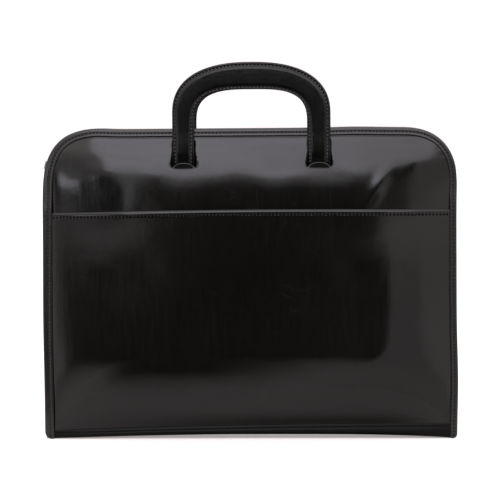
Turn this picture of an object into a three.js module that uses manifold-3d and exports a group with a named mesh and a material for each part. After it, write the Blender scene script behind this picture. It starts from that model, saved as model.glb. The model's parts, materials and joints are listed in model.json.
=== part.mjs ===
// A zip-top document case in glossy black leather: two bowed panels with bound edges, a full-width
// slip pocket, drop handles that run through arched slits, side gussets, a zip and a base strip.
// Millimetres, +Z up. The case stands on its base at z = 0 and its front faces -Y.
import * as THREE from "three";
import { mergeVertices } from "three/addons/utils/BufferGeometryUtils.js";
import Module from "manifold-3d";

const wasm = await Module();
wasm.setup();

// Outline of the case
const CASE_WIDTH = 391; // over the binding
const CASE_HEIGHT = 293.8; // base to the top of the binding
const CORNER = { across: 54, up: 62, power: 2.6 }; // both top corners, a superellipse over the binding

// Wall thicknesses
const PANEL_WALL = 1.8;
const POCKET_WALL = 1.4;
const BINDING_WALL = 1.0;
const GUSSET_WALL = 1.2;
const BASE_WALL = 1.4;
const TAPE_WALL = 1.0;
const GAP = 0.3; // left between pieces that are sewn face to face

// Seams
const CHANNEL_HALF = 10.2; // half the width of the channel between the two bindings
const BINDING_WIDTH = 6.3; // how far the outer leaf covers a panel
const INNER_LEAF_WIDTH = 4.3;
const FOLD_CHAMFER = 0.8;
const WEB_SINK = 5.2; // how far the gusset and the zip lie inside the cut edge at a seam
const WEB_CROWN = 1.4; // how far they bow out again at the middle

// Bowed panels
const PILLOW_HEIGHT = 9.0;
const PILLOW_REACH = 70; // distance over which a panel rises from its edge
const PILLOW_POWER = 2.2;
const PILLOW_CORNER = 2.6; // exponent that rounds the pillow's top corners

// Slip pocket
const MOUTH_LEVEL = 215.6; // height of the pocket's mouth at the sides
const MOUTH_RISE = 2.0; // the mouth is this much higher at the middle
const MOUTH_STEP = { from: 3, to: 13 }; // heights over it between which the binding steps down
const POCKET_SLACK = 4.4; // room for papers inside the pocket
const POCKET_FLAT_HALF = 116; // half width over which the slack is full
const POCKET_FLAT_LEVEL = 84; // above this height the slack is full
const HEM_HEIGHT = 5;
const HEM_RELIEF = 0.6;

// Base strip
const BASE_STRIP_TOP = 12.6;
const BASE_EDGE_RADIUS = 3.2;
const BASE_EDGE_STEPS = 3;
const PANEL_FOOT = 2.2; // bottom edge of the panels and the pocket
const CORNER_STEPS = 10; // facets round each top corner
const CUT_REACH = 60; // openings are cut this far to both sides of the middle plane

// Drop handles
const HANDLE_CENTRE = 2.9; // the handles sit this far right of the middle
const HANDLE_OUTER = { halfWidth: 74.3, rise: 49.1, spring: 306.9, power: 2.32 };
const HANDLE_INNER = { halfWidth: 53.2, rise: 34.0, spring: 296.5, power: 3.0 };
const HANDLE_THICKNESS = 4.4;
const HANDLE_BEVEL = 0.8;
const HANDLE_STEPS = 24; // facets round each arch
const HANDLE_CLEARANCE = 0.4;
const STOP_WIDTH = 30; // wide end that stops a leg from pulling out of its slit
const STOP_TOP = 248;
const STOP_HEIGHT = 10;
const LIP_LEVEL = 256.4; // the slit's ends
const LIP_RISE = 5.2; // height of its arch
const LIP_EASE = { below: 2, above: 20 }; // heights over which the arch shapes the panel's grid
const SLIT_HEIGHT = 7; // opening above the lip, mostly hidden behind the leg
const SLIT_EDGE = 0.4; // rim of leather left where the opening is cut
const SLIT_SPARE = 1.0; // the slit is this much wider than the leg on each side
const DENT_RAMP = 9; // width over which the leather eases beside a leg
const LIP_FADE = 40; // height below a slit over which its lip eases back into the panel

// Zip
const ZIP_END_LEVEL = 226; // the zip ends this high on both sides
const CHAIN_HALF = 2.9;
const CHAIN_THICKNESS = 2.4;
const CHAIN_PROUD = 0.8; // teeth stand this far over the tape
const SLIDER_ANGLE = 21; // degrees up the left corner's curve
const SLIDER = { length: 11, width: 9.6, plate: 1.4, nose: 0.72, seat: 0.6 };
const CROWN = { length: 8, width: 2.6, height: 4.6, wire: 1.2 };
const PULLER = { length: 28, width: 8.4, thickness: 1.4, bar: 1.6, slot: 5.0, slotWidth: 3.6, neck: 4 };
const PULLER_LIFT = 1.3; // height of its bar over the slider's plate
const PULLER_DROOP = 13.5; // degrees that it hangs in from the slider

// Depths from the middle plane, from the channel outwards
const innerLeaf = CHANNEL_HALF;
const flangeInner = innerLeaf + BINDING_WALL + GAP;
const flangeOuter = flangeInner + GUSSET_WALL;
const panelInner = flangeOuter + GAP;
const panelOuter = panelInner + PANEL_WALL;
const leafInner = panelOuter + GAP;
const leafOuter = leafInner + BINDING_WALL;
const pocketStack = POCKET_WALL + GAP; // what the pocket adds under the binding
const handleBack = leafOuter + HANDLE_CLEARANCE;
const handleFront = handleBack + HANDLE_THICKNESS;

// The cut edge of the panels, inside the binding's fold
const edgeFold = BINDING_WALL + GAP;
const edgeHalfWidth = CASE_WIDTH / 2 - edgeFold;
const edgeTop = CASE_HEIGHT - edgeFold;
const cornerAcross = CORNER.across - edgeFold;
const cornerUp = CORNER.up - edgeFold;
const cornerX = edgeHalfWidth - cornerAcross;
const cornerLevel = edgeTop - cornerUp;
const FRONT = -1;
const BACK = 1;

const clamp = (value) => Math.min(1, Math.max(0, value));
const ramp = (from, to, value) => THREE.MathUtils.smoothstep((value - from) / (to - from), 0, 1);

// A place on the cut edge of the left (-1) or right (+1) side, with its outward direction.
const sideStation = (hand, level) => ({ x: hand * edgeHalfWidth, z: level, nx: hand, nz: 0 });

// A place on a top corner's curve, by an angle up from the side.
function cornerStation(hand, degrees) {
  const angle = THREE.MathUtils.degToRad(degrees);
  const across = Math.cos(angle) ** (2 / CORNER.power);
  const up = Math.sin(angle) ** (2 / CORNER.power);
  const slope = new THREE.Vector2(
    across ** (CORNER.power - 1) / cornerAcross,
    up ** (CORNER.power - 1) / cornerUp,
  ).normalize();
  return {
    x: hand * (cornerX + cornerAcross * across),
    z: cornerLevel + cornerUp * up,
    nx: hand * slope.x,
    nz: slope.y,
  };
}

// Stations of one side from the given levels up round its corner.
function handStations(hand, sideLevels) {
  const corner = Array.from({ length: CORNER_STEPS }, (_, i) => (90 * (i + 1)) / CORNER_STEPS);
  return [
    ...sideLevels.map((level) => sideStation(hand, level)),
    ...corner.map((degrees) => cornerStation(hand, degrees)),
  ];
}

// Stations round the cut edge, up the left side, along the top and down the right side.
const rimStations = (levels) => [...handStations(-1, levels), ...handStations(1, levels).reverse()];

function solidOf(geometry) {
  const bare = new THREE.BufferGeometry().setAttribute("position", geometry.getAttribute("position"));
  if (geometry.index) bare.setIndex(geometry.index);
  const merged = mergeVertices(bare, 1e-4);
  return new wasm.Manifold(
    new wasm.Mesh({
      numProp: 3,
      vertProperties: merged.getAttribute("position").array,
      triVerts: new Uint32Array(merged.index.array),
    }),
  );
}

function geometryOf(solid) {
  const mesh = solid.getMesh();
  const geometry = new THREE.BufferGeometry();
  geometry.setAttribute("position", new THREE.BufferAttribute(new Float32Array(mesh.vertProperties), 3));
  geometry.setIndex(new THREE.BufferAttribute(new Uint32Array(mesh.triVerts), 1));
  geometry.computeVertexNormals();
  return geometry;
}

function indexedGeometry(points, faces) {
  let volume = 0;
  for (const [a, b, c] of faces) volume += points[a].dot(points[b].clone().cross(points[c]));
  const outward = volume > 0 ? faces : faces.map(([a, b, c]) => [a, c, b]);
  const geometry = new THREE.BufferGeometry().setFromPoints(points);
  geometry.setIndex(outward.flat());
  return geometry;
}

// A closed strip: a section of [outward, depth] corners carried along stations, with capped ends.
function sweep(stations, sectionAt, side) {
  const points = [];
  for (const station of stations) {
    const { x, z, nx, nz } = station;
    for (const [out, depth] of sectionAt(station)) {
      points.push(new THREE.Vector3(x + nx * out, side * depth, z + nz * out));
    }
  }
  const size = points.length / stations.length;
  const faces = [];
  for (let i = 0; i + 1 < stations.length; i++) {
    for (let j = 0; j < size; j++) {
      const a = i * size + j;
      const b = i * size + ((j + 1) % size);
      faces.push([a, b, b + size], [a, b + size, a + size]);
    }
  }
  for (const [end, reversed] of [[0, true], [stations.length - 1, false]]) {
    for (const cap of capFaces(sectionAt(stations[end]))) {
      const [a, b, c] = cap.map((index) => end * size + index);
      faces.push(reversed ? [a, c, b] : [a, b, c]);
    }
  }
  return indexedGeometry(points, faces);
}

// Triangles of a section, wound as the section itself is.
function capFaces(section) {
  const corners = section.map(([out, depth]) => new THREE.Vector2(out, depth));
  const turn = Math.sign(THREE.ShapeUtils.area(corners));
  return THREE.ShapeUtils.triangulateShape(corners, []).map(([a, b, c]) => {
    const area = THREE.ShapeUtils.area([corners[a], corners[b], corners[c]]);
    return Math.sign(area) === turn ? [a, b, c] : [a, c, b];
  });
}

// A closed leather sheet over a grid whose rows may be arched, from a function that gives its outer depth at
// each point.
function sheet(columns, rows, outerDepth, wall, side, archedRow = (x, row) => row) {
  const points = [];
  for (const layer of [0, wall]) {
    for (const row of rows) {
      for (const x of columns) {
        const z = archedRow(x, row);
        points.push(new THREE.Vector3(x, side * (outerDepth(x, z) - layer), z));
      }
    }
  }
  const width = columns.length;
  const under = width * rows.length;
  const faces = [];
  for (let j = 0; j + 1 < rows.length; j++) {
    for (let i = 0; i + 1 < width; i++) {
      const a = j * width + i;
      const [b, c, d] = [a + 1, a + width + 1, a + width];
      faces.push([a, b, c], [a, c, d]);
      faces.push([under + a, under + c, under + b], [under + a, under + d, under + c]);
    }
  }
  const wallAlong = (a, b) => faces.push([a, under + a, under + b], [a, under + b, b]);
  for (let i = 0; i + 1 < width; i++) {
    wallAlong(i, i + 1);
    wallAlong((rows.length - 1) * width + i + 1, (rows.length - 1) * width + i);
  }
  for (let j = 0; j + 1 < rows.length; j++) {
    wallAlong((j + 1) * width, j * width);
    wallAlong(j * width + width - 1, (j + 1) * width + width - 1);
  }
  return indexedGeometry(points, faces);
}

// A prism of a front-view outline that reaches through the whole case.
function prism(shape) {
  const geometry = new THREE.ExtrudeGeometry(shape, { depth: 2 * CUT_REACH, bevelEnabled: false });
  return geometry.rotateX(Math.PI / 2).translate(0, CUT_REACH, 0);
}

// Levels at even steps up the sides from the foot of the panels.
function sideLevels(top, steps = 8) {
  return Array.from({ length: steps + 1 }, (_, i) => PANEL_FOOT + (top - PANEL_FOOT) * (i / steps));
}

const flat = ({ x, z }) => new THREE.Vector2(x, z);

// Front-view outline of a panel.
const panelShape = () => new THREE.Shape(rimStations(sideLevels(cornerLevel)).map(flat).reverse());

// Front-view outline of the pocket, whose mouth is slightly arched.
function pocketShape() {
  const levels = sideLevels(MOUTH_LEVEL);
  const left = levels.map((level) => flat(sideStation(-1, level)));
  const right = levels.map((level) => flat(sideStation(1, level)));
  const shape = new THREE.Shape(right);
  shape.quadraticCurveTo(0, MOUTH_LEVEL + 2 * MOUTH_RISE, left.at(-1).x, MOUTH_LEVEL);
  for (const point of left.reverse().slice(1)) shape.lineTo(point.x, point.y);
  return shape;
}

// Distance of a point from the binding of the nearer side.
const seamDistance = (x) => edgeHalfWidth - BINDING_WIDTH - Math.abs(x);

// How far a panel bows out at a point: nothing under the binding, full height over its middle.
function pillow(x, z) {
  const across = 1 - clamp(seamDistance(x) / PILLOW_REACH);
  const up = 1 - clamp((edgeTop - BINDING_WIDTH - z) / PILLOW_REACH);
  const down = 1 - clamp((z - BASE_STRIP_TOP) / PILLOW_REACH);
  const rest = Math.min(1, (across ** PILLOW_CORNER + up ** PILLOW_CORNER) ** (1 / PILLOW_CORNER));
  return PILLOW_HEIGHT * (1 - rest ** PILLOW_POWER) * (1 - down ** PILLOW_POWER);
}

const legReach = (HANDLE_OUTER.halfWidth + HANDLE_INNER.halfWidth) / 2;
const legCentres = [HANDLE_CENTRE - legReach, HANDLE_CENTRE + legReach];
const legHalf = (HANDLE_OUTER.halfWidth - HANDLE_INNER.halfWidth) / 2;
const grooveBow = handleBack - GAP - panelOuter; // most that a panel may bow behind a leg
const lipBow = handleFront + GAP - panelInner; // least that it bows where it covers a leg
const slitHalf = legHalf + SLIT_SPARE;

// Height that a slit's arch adds at an offset from its leg.
const slitArch = (offset) => LIP_RISE * Math.max(0, 1 - (offset / slitHalf) ** 2);

// Rows near the slits rise with their arches.
function archedRow(x, row) {
  const rising = ramp(STOP_TOP, LIP_LEVEL - LIP_EASE.below, row);
  const falling = ramp(LIP_LEVEL + SLIT_HEIGHT, LIP_LEVEL + LIP_EASE.above, row);
  const [left, right] = legCentres.map((centre) => slitArch(x - centre));
  return row + rising * (1 - falling) * (left + right);
}

// Bow of a panel with its handle: it gives way behind each leg and stands out as a lip over the leg's end.
function panelBow(x, z) {
  let bow = pillow(x, z);
  for (const centre of legCentres) {
    const offset = x - centre;
    const under = 1 - ramp(slitHalf, slitHalf + DENT_RAMP, Math.abs(offset));
    const lip = LIP_LEVEL + slitArch(offset);
    const below = 1 - ramp(lip, lip + SLIT_HEIGHT, z);
    const lifted = below * ramp(lip - LIP_FADE, lip - LIP_FADE / 2, z);
    bow += under * lifted * Math.max(0, lipBow - bow);
    bow -= under * (1 - below) * Math.max(0, bow - grooveBow);
  }
  return bow;
}

// Grid lines of a panel: distances in from the edges, and offsets from a leg.
const edgeLines = [-4, BINDING_WIDTH, 12, 21, 38, 60, 83];
const legLines = [-slitHalf - DENT_RAMP, -slitHalf, -8, -4, 0, 4, 8, slitHalf, slitHalf + DENT_RAMP];
const centreLines = [0, 21];
const footLines = [-1, BASE_STRIP_TOP, 22, 38, 58, 84, 130, 185];
const lipLines = [LIP_LEVEL - LIP_EASE.below, LIP_LEVEL, LIP_LEVEL + SLIT_HEIGHT];
const slitLines = [220, 238, STOP_TOP, ...lipLines, 270, 278];

const ordered = (lines) => [...new Set(lines)].sort((a, b) => a - b);
const mirrored = (lines) => ordered(lines.flatMap((line) => [line, -line]));
const panelColumns = ordered([
  ...mirrored(edgeLines.map((line) => edgeHalfWidth - line)),
  ...legCentres.flatMap((centre) => legLines.map((line) => centre + line)),
  ...mirrored(centreLines).map((line) => HANDLE_CENTRE + line),
]);
const panelRows = [...footLines, ...slitLines, edgeTop - BINDING_WIDTH, edgeTop + 1];

// Front-view outline of the opening above a slit's lip.
function slitShape(centre) {
  const offsets = legLines.filter((offset) => Math.abs(offset) <= slitHalf);
  const lower = offsets.map((offset) => [centre + offset, LIP_LEVEL + SLIT_EDGE + slitArch(offset)]);
  const upper = lower.map(([x, z]) => [x, z + SLIT_HEIGHT - 2 * SLIT_EDGE]).reverse();
  return new THREE.Shape([...lower, ...upper].map(([x, z]) => new THREE.Vector2(x, z)));
}

// A front or back panel: the bowed sheet cut to the outline, with both slits opened for the legs.
function panelGeometry(side) {
  const outer = (x, z) => panelOuter + panelBow(x, z);
  const blank = solidOf(sheet(panelColumns, panelRows, outer, PANEL_WALL, side, archedRow));
  let panel = blank.intersect(solidOf(prism(panelShape())));
  for (const centre of legCentres) {
    const room = new THREE.BoxGeometry(2 * slitHalf, HANDLE_THICKNESS + 2 * GAP, CASE_HEIGHT - STOP_TOP);
    room.translate(centre, (side * (handleBack + handleFront)) / 2, (CASE_HEIGHT + STOP_TOP) / 2);
    panel = panel.subtract(solidOf(room)).subtract(solidOf(prism(slitShape(centre))));
  }
  return geometryOf(panel);
}

// Slack between the pocket and the panel behind it.
function pocketSlack(x, z) {
  const across = ramp(0, edgeHalfWidth - BINDING_WIDTH - POCKET_FLAT_HALF, seamDistance(x));
  return GAP + POCKET_SLACK * across * ramp(BASE_STRIP_TOP, POCKET_FLAT_LEVEL, z);
}

// The slip pocket, with a folded hem along its mouth.
function pocketGeometry() {
  const hemFoot = MOUTH_LEVEL - HEM_HEIGHT;
  const outer = (x, z) => {
    const hem = HEM_RELIEF * ramp(hemFoot - HEM_RELIEF, hemFoot + HEM_RELIEF, z);
    const edge = ramp(0, 2 * BINDING_WIDTH, seamDistance(x));
    return panelOuter + panelBow(x, z) + pocketSlack(x, z) + POCKET_WALL + hem * edge;
  };
  const columns = mirrored([...edgeLines.map((line) => edgeHalfWidth - line), POCKET_FLAT_HALF / 2, 0]);
  const rows = [...footLines, hemFoot - HEM_RELIEF, hemFoot + HEM_RELIEF, MOUTH_LEVEL + 2 * MOUTH_RISE];
  const blank = solidOf(sheet(columns, rows, outer, POCKET_WALL, FRONT));
  return geometryOf(blank.intersect(solidOf(prism(pocketShape()))));
}

// The binding is folded over the cut edges, and its outer leaf rides over the pocket where there is one.
function bindingGeometry(side) {
  const stepFoot = MOUTH_LEVEL + MOUTH_STEP.from;
  const levels = [0, ...sideLevels(stepFoot, 4).slice(1), MOUTH_LEVEL + MOUTH_STEP.to, cornerLevel];
  const section = (station) => {
    const overPocket = side === FRONT && station.z <= stepFoot;
    const outer = leafOuter + (overPocket ? pocketStack : 0);
    return [
      [-BINDING_WIDTH, outer],
      [edgeFold - FOLD_CHAMFER, outer],
      [edgeFold, outer - FOLD_CHAMFER],
      [edgeFold, innerLeaf + FOLD_CHAMFER],
      [edgeFold - FOLD_CHAMFER, innerLeaf],
      [-INNER_LEAF_WIDTH, innerLeaf],
      [-INNER_LEAF_WIDTH, innerLeaf + BINDING_WALL],
      [GAP, innerLeaf + BINDING_WALL],
      [GAP, outer - BINDING_WALL],
      [-BINDING_WIDTH, outer - BINDING_WALL],
    ];
  };
  return sweep(rimStations(levels), section, side);
}

// Outward place of the gusset's or the zip's outer face at a depth: it bows out between its seams.
const webOut = (depth) => -WEB_SINK + WEB_CROWN * (1 - (depth / flangeInner) ** 2);

// A side gusset: a channel of leather with a flange under each binding.
function gussetGeometry(hand) {
  const steps = [1, 0.6, 0.2, -0.2, -0.6, -1].map((share) => share * flangeInner);
  const outerWeb = steps.map((depth) => [webOut(depth), depth]);
  const innerWeb = steps.map((depth) => [webOut(depth) - GUSSET_WALL, depth * (flangeOuter / flangeInner)]);
  const section = [[-GAP, flangeInner], ...outerWeb, [-GAP, -flangeInner], [-GAP, -flangeOuter]];
  section.push(...innerWeb.reverse(), [-GAP, flangeOuter]);
  const levels = [GAP, ...sideLevels(ZIP_END_LEVEL - GAP, 4).slice(1)];
  return sweep(levels.map((level) => sideStation(hand, level)), () => section, FRONT);
}

const zipStations = () => rimStations([ZIP_END_LEVEL, cornerLevel]);

// One tape of the zip, from under a binding to the teeth.
function tapeGeometry(side) {
  const inner = CHAIN_HALF + GAP;
  const steps = [flangeInner, (flangeInner + inner) / 2, inner];
  const outerWeb = steps.map((depth) => [webOut(depth), depth]);
  const innerWeb = steps.map((depth, i) => [webOut(depth) - TAPE_WALL, i ? depth : depth + TAPE_WALL]);
  const flange = [[-GAP, flangeInner + TAPE_WALL], [-GAP, flangeInner]];
  const section = [...flange, ...outerWeb, ...innerWeb.reverse()];
  return sweep(zipStations(), () => section, side);
}

// The closed row of teeth as one strip.
const chainTop = webOut(0) + CHAIN_PROUD;
function chainGeometry() {
  const section = [
    [chainTop, -CHAIN_HALF / 2],
    [chainTop, CHAIN_HALF / 2],
    [chainTop - CHAIN_PROUD, CHAIN_HALF],
    [chainTop - CHAIN_THICKNESS, CHAIN_HALF],
    [chainTop - CHAIN_THICKNESS, -CHAIN_HALF],
    [chainTop - CHAIN_PROUD, -CHAIN_HALF],
  ];
  return sweep(zipStations(), () => section, FRONT);
}

// The slider in its own frame: X along the zip towards its end, Y across it, Z outwards from the chain.
function sliderGeometry() {
  const { length, width, plate, nose } = SLIDER;
  const outline = new THREE.Shape();
  outline.moveTo(-length / 2, -width / 2);
  outline.lineTo(length / 4, -width / 2);
  outline.lineTo(length / 2, (-width / 2) * nose);
  outline.lineTo(length / 2, (width / 2) * nose);
  outline.lineTo(length / 4, width / 2);
  outline.lineTo(-length / 2, width / 2);
  outline.closePath();
  const body = solidOf(new THREE.ExtrudeGeometry(outline, { depth: plate, bevelEnabled: false }));
  const half = CROWN.length / 2;
  const inner = CROWN.height - CROWN.wire;
  const arch = new THREE.Shape();
  arch.moveTo(-half, 0);
  arch.lineTo(-half, inner);
  arch.quadraticCurveTo(-half, CROWN.height, -half + CROWN.wire, CROWN.height);
  arch.lineTo(half - CROWN.wire, CROWN.height);
  arch.quadraticCurveTo(half, CROWN.height, half, inner);
  arch.lineTo(half, 0);
  arch.lineTo(half - CROWN.wire, 0);
  arch.lineTo(half - CROWN.wire, inner);
  arch.lineTo(-half + CROWN.wire, inner);
  arch.lineTo(-half + CROWN.wire, 0);
  arch.closePath();
  const settings = { depth: CROWN.width, bevelEnabled: false, curveSegments: 2 };
  const crown = new THREE.ExtrudeGeometry(arch, settings);
  crown.rotateX(Math.PI / 2).translate(0, CROWN.width / 2, plate - GAP);
  return geometryOf(body.add(solidOf(crown)));
}

// The puller in its own frame: its bar crosses under the crown at the origin and the tab runs along +X.
function pullerGeometry() {
  const { length, width, thickness, bar, slot, slotWidth, neck } = PULLER;
  const round = width / 2;
  const outline = new THREE.Shape();
  outline.moveTo(-bar / 2, -slotWidth);
  outline.lineTo(slot, -slotWidth);
  outline.lineTo(slot + neck, -round);
  outline.lineTo(length - round, -round);
  outline.absarc(length - round, 0, round, -Math.PI / 2, Math.PI / 2, false);
  outline.lineTo(slot + neck, round);
  outline.lineTo(slot, slotWidth);
  outline.lineTo(-bar / 2, slotWidth);
  outline.closePath();
  const window = new THREE.Path();
  window.moveTo(bar / 2, -slotWidth / 2);
  window.lineTo(bar / 2, slotWidth / 2);
  window.lineTo(slot, slotWidth / 2);
  window.lineTo(slot, -slotWidth / 2);
  window.closePath();
  outline.holes.push(window);
  return new THREE.ExtrudeGeometry(outline, { depth: thickness, bevelEnabled: false, curveSegments: 6 });
}

// The base strip: a flat base turned up as a flange over the foot of each panel.
function baseGeometry() {
  const frontFlange = leafInner + pocketStack;
  const backFlange = leafInner;
  const flange = (side, inner) => {
    const outer = inner + BASE_WALL;
    const turn = [];
    for (let i = 0; i <= BASE_EDGE_STEPS; i++) {
      const angle = (Math.PI / 2) * (i / BASE_EDGE_STEPS);
      const depth = outer - BASE_EDGE_RADIUS * (1 - Math.cos(angle));
      turn.push([BASE_EDGE_RADIUS * (1 - Math.sin(angle)), side * depth]);
    }
    const rise = [[BASE_WALL, side * inner], [BASE_STRIP_TOP, side * inner], [BASE_STRIP_TOP, side * outer]];
    return [...rise, ...turn];
  };
  const section = [...flange(FRONT, frontFlange), ...flange(BACK, backFlange).reverse()];
  const inset = BINDING_WIDTH + 2 * GAP;
  const ends = [inset - edgeHalfWidth, edgeHalfWidth - inset];
  return sweep(ends.map((x) => ({ x, z: 0, nx: 0, nz: 1 })), () => section, BACK);
}

// Points of a superellipse arch from its right springing over the top to its left one.
function archPoints({ halfWidth, rise, spring, power }) {
  const points = [];
  for (let i = 0; i <= HANDLE_STEPS; i++) {
    const angle = (Math.PI * i) / HANDLE_STEPS;
    const across = Math.sign(Math.cos(angle)) * Math.abs(Math.cos(angle)) ** (2 / power);
    points.push(new THREE.Vector2(halfWidth * across, spring + rise * Math.sin(angle) ** (2 / power)));
  }
  return points;
}

// A handle: a flat arched strap whose legs pass behind the slits' lips and end in wide stops.
function handleGeometry(side) {
  const stopHalf = STOP_WIDTH / 2;
  const foot = STOP_TOP - STOP_HEIGHT;
  const shape = new THREE.Shape();
  shape.moveTo(legReach - stopHalf, foot);
  shape.lineTo(legReach + stopHalf, foot);
  shape.lineTo(legReach + stopHalf, STOP_TOP);
  shape.lineTo(HANDLE_OUTER.halfWidth, STOP_TOP);
  for (const point of archPoints(HANDLE_OUTER)) shape.lineTo(point.x, point.y);
  shape.lineTo(-HANDLE_OUTER.halfWidth, STOP_TOP);
  shape.lineTo(-legReach - stopHalf, STOP_TOP);
  shape.lineTo(-legReach - stopHalf, foot);
  shape.lineTo(-legReach + stopHalf, foot);
  shape.lineTo(-legReach + stopHalf, STOP_TOP);
  shape.lineTo(-HANDLE_INNER.halfWidth, STOP_TOP);
  for (const point of archPoints(HANDLE_INNER).reverse()) shape.lineTo(point.x, point.y);
  shape.lineTo(HANDLE_INNER.halfWidth, STOP_TOP);
  shape.lineTo(legReach - stopHalf, STOP_TOP);
  shape.closePath();
  const geometry = new THREE.ExtrudeGeometry(shape, {
    depth: HANDLE_THICKNESS - 2 * HANDLE_BEVEL,
    bevelThickness: HANDLE_BEVEL,
    bevelSize: HANDLE_BEVEL,
    bevelOffset: -HANDLE_BEVEL,
    bevelSegments: 1,
  });
  const nearFace = side === FRONT ? -handleBack : handleFront;
  return geometry.rotateX(Math.PI / 2).translate(HANDLE_CENTRE, nearFace - HANDLE_BEVEL, 0);
}

const panelLeather = new THREE.MeshStandardMaterial({ color: 0x131212, roughness: 0.16, metalness: 0 });
const strapLeather = new THREE.MeshStandardMaterial({ color: 0x1a1919, roughness: 0.42, metalness: 0 });
const edgeLeather = new THREE.MeshStandardMaterial({ color: 0x161515, roughness: 0.3, metalness: 0 });
const zipCloth = new THREE.MeshStandardMaterial({ color: 0x0e0e0f, roughness: 0.85, metalness: 0 });
const zipMetal = new THREE.MeshStandardMaterial({ color: 0x8c8a86, roughness: 0.3, metalness: 1 });

const documentCase = new THREE.Group();

function add(name, geometry, material, parent = documentCase) {
  const mesh = new THREE.Mesh(geometry, material.clone());
  mesh.name = name;
  parent.add(mesh);
  return mesh;
}

for (const [word, side] of [["front", FRONT], ["back", BACK]]) {
  add(`${word}_panel`, panelGeometry(side), panelLeather);
  add(`binding_${word}`, bindingGeometry(side), edgeLeather);
  add(`zip_tape_${word}`, tapeGeometry(side), zipCloth);
  add(`handle_${word}`, handleGeometry(side), strapLeather);
}
add("front_pocket", pocketGeometry(), panelLeather);
add("base_strip", baseGeometry(), edgeLeather);
add("side_gusset_left", gussetGeometry(-1), edgeLeather);
add("side_gusset_right", gussetGeometry(1), edgeLeather);
add("zip_chain", chainGeometry(), zipMetal);

// The slider rides on the left corner's curve, nose towards the zip's end, and the puller hangs from it.
const seat = cornerStation(-1, SLIDER_ANGLE);
const seatOut = chainTop + SLIDER.seat;
const slider = new THREE.Group();
slider.position.set(seat.x + seat.nx * seatOut, 0, seat.z + seat.nz * seatOut);
slider.setRotationFromMatrix(
  new THREE.Matrix4().makeBasis(
    new THREE.Vector3(-seat.nz, 0, seat.nx),
    new THREE.Vector3(0, -1, 0),
    new THREE.Vector3(seat.nx, 0, seat.nz),
  ),
);
documentCase.add(slider);
add("zip_slider", sliderGeometry(), zipMetal, slider);
const puller = add("zip_puller", pullerGeometry(), zipMetal, slider);
const barPlace = CROWN.length / 2 - CROWN.wire - GAP - PULLER.bar / 2;
puller.position.set(barPlace, 0, SLIDER.plate + PULLER_LIFT);
puller.rotation.y = THREE.MathUtils.degToRad(PULLER_DROOP);

export default documentCase;
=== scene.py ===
import json
import math

import bmesh
import bpy
import numpy as np
from mathutils import Matrix

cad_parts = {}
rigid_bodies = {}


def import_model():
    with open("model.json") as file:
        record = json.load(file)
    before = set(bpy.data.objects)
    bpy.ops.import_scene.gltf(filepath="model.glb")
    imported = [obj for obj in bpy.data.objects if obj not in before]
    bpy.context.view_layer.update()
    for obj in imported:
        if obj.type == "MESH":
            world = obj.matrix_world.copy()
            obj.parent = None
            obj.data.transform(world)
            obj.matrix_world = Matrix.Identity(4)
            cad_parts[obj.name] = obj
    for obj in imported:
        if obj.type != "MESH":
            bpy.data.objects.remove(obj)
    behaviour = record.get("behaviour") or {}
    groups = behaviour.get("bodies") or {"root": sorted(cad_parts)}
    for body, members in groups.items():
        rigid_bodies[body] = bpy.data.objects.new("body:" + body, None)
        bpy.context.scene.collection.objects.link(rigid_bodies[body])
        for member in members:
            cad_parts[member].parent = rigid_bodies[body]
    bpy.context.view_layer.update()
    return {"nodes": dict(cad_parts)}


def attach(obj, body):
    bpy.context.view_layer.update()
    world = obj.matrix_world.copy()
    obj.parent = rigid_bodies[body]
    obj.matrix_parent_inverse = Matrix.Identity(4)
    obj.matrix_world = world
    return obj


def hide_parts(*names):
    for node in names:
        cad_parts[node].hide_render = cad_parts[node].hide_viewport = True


scene = bpy.context.scene
for leftover in list(bpy.data.objects):
    bpy.data.objects.remove(leftover)
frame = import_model()
mm = 0.001
dice = np.random.default_rng(41)
print("frame loaded with", len(frame["nodes"]), "solids")


class Wire:
    # a socket that takes part in sums; each sum adds a Math node
    def __init__(self, finish, socket):
        self.finish = finish
        self.socket = socket

    def sum(self, operation, first, second):
        return self.finish.node("ShaderNodeMath", {"operation": operation}, {0: first, 1: second})

    def __add__(self, other):
        return self.sum("ADD", self, other)

    def __radd__(self, other):
        return self.sum("ADD", other, self)

    def __sub__(self, other):
        return self.sum("SUBTRACT", self, other)

    def __rsub__(self, other):
        return self.sum("SUBTRACT", other, self)

    def __mul__(self, other):
        return self.sum("MULTIPLY", self, other)

    def __rmul__(self, other):
        return self.sum("MULTIPLY", other, self)


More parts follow.
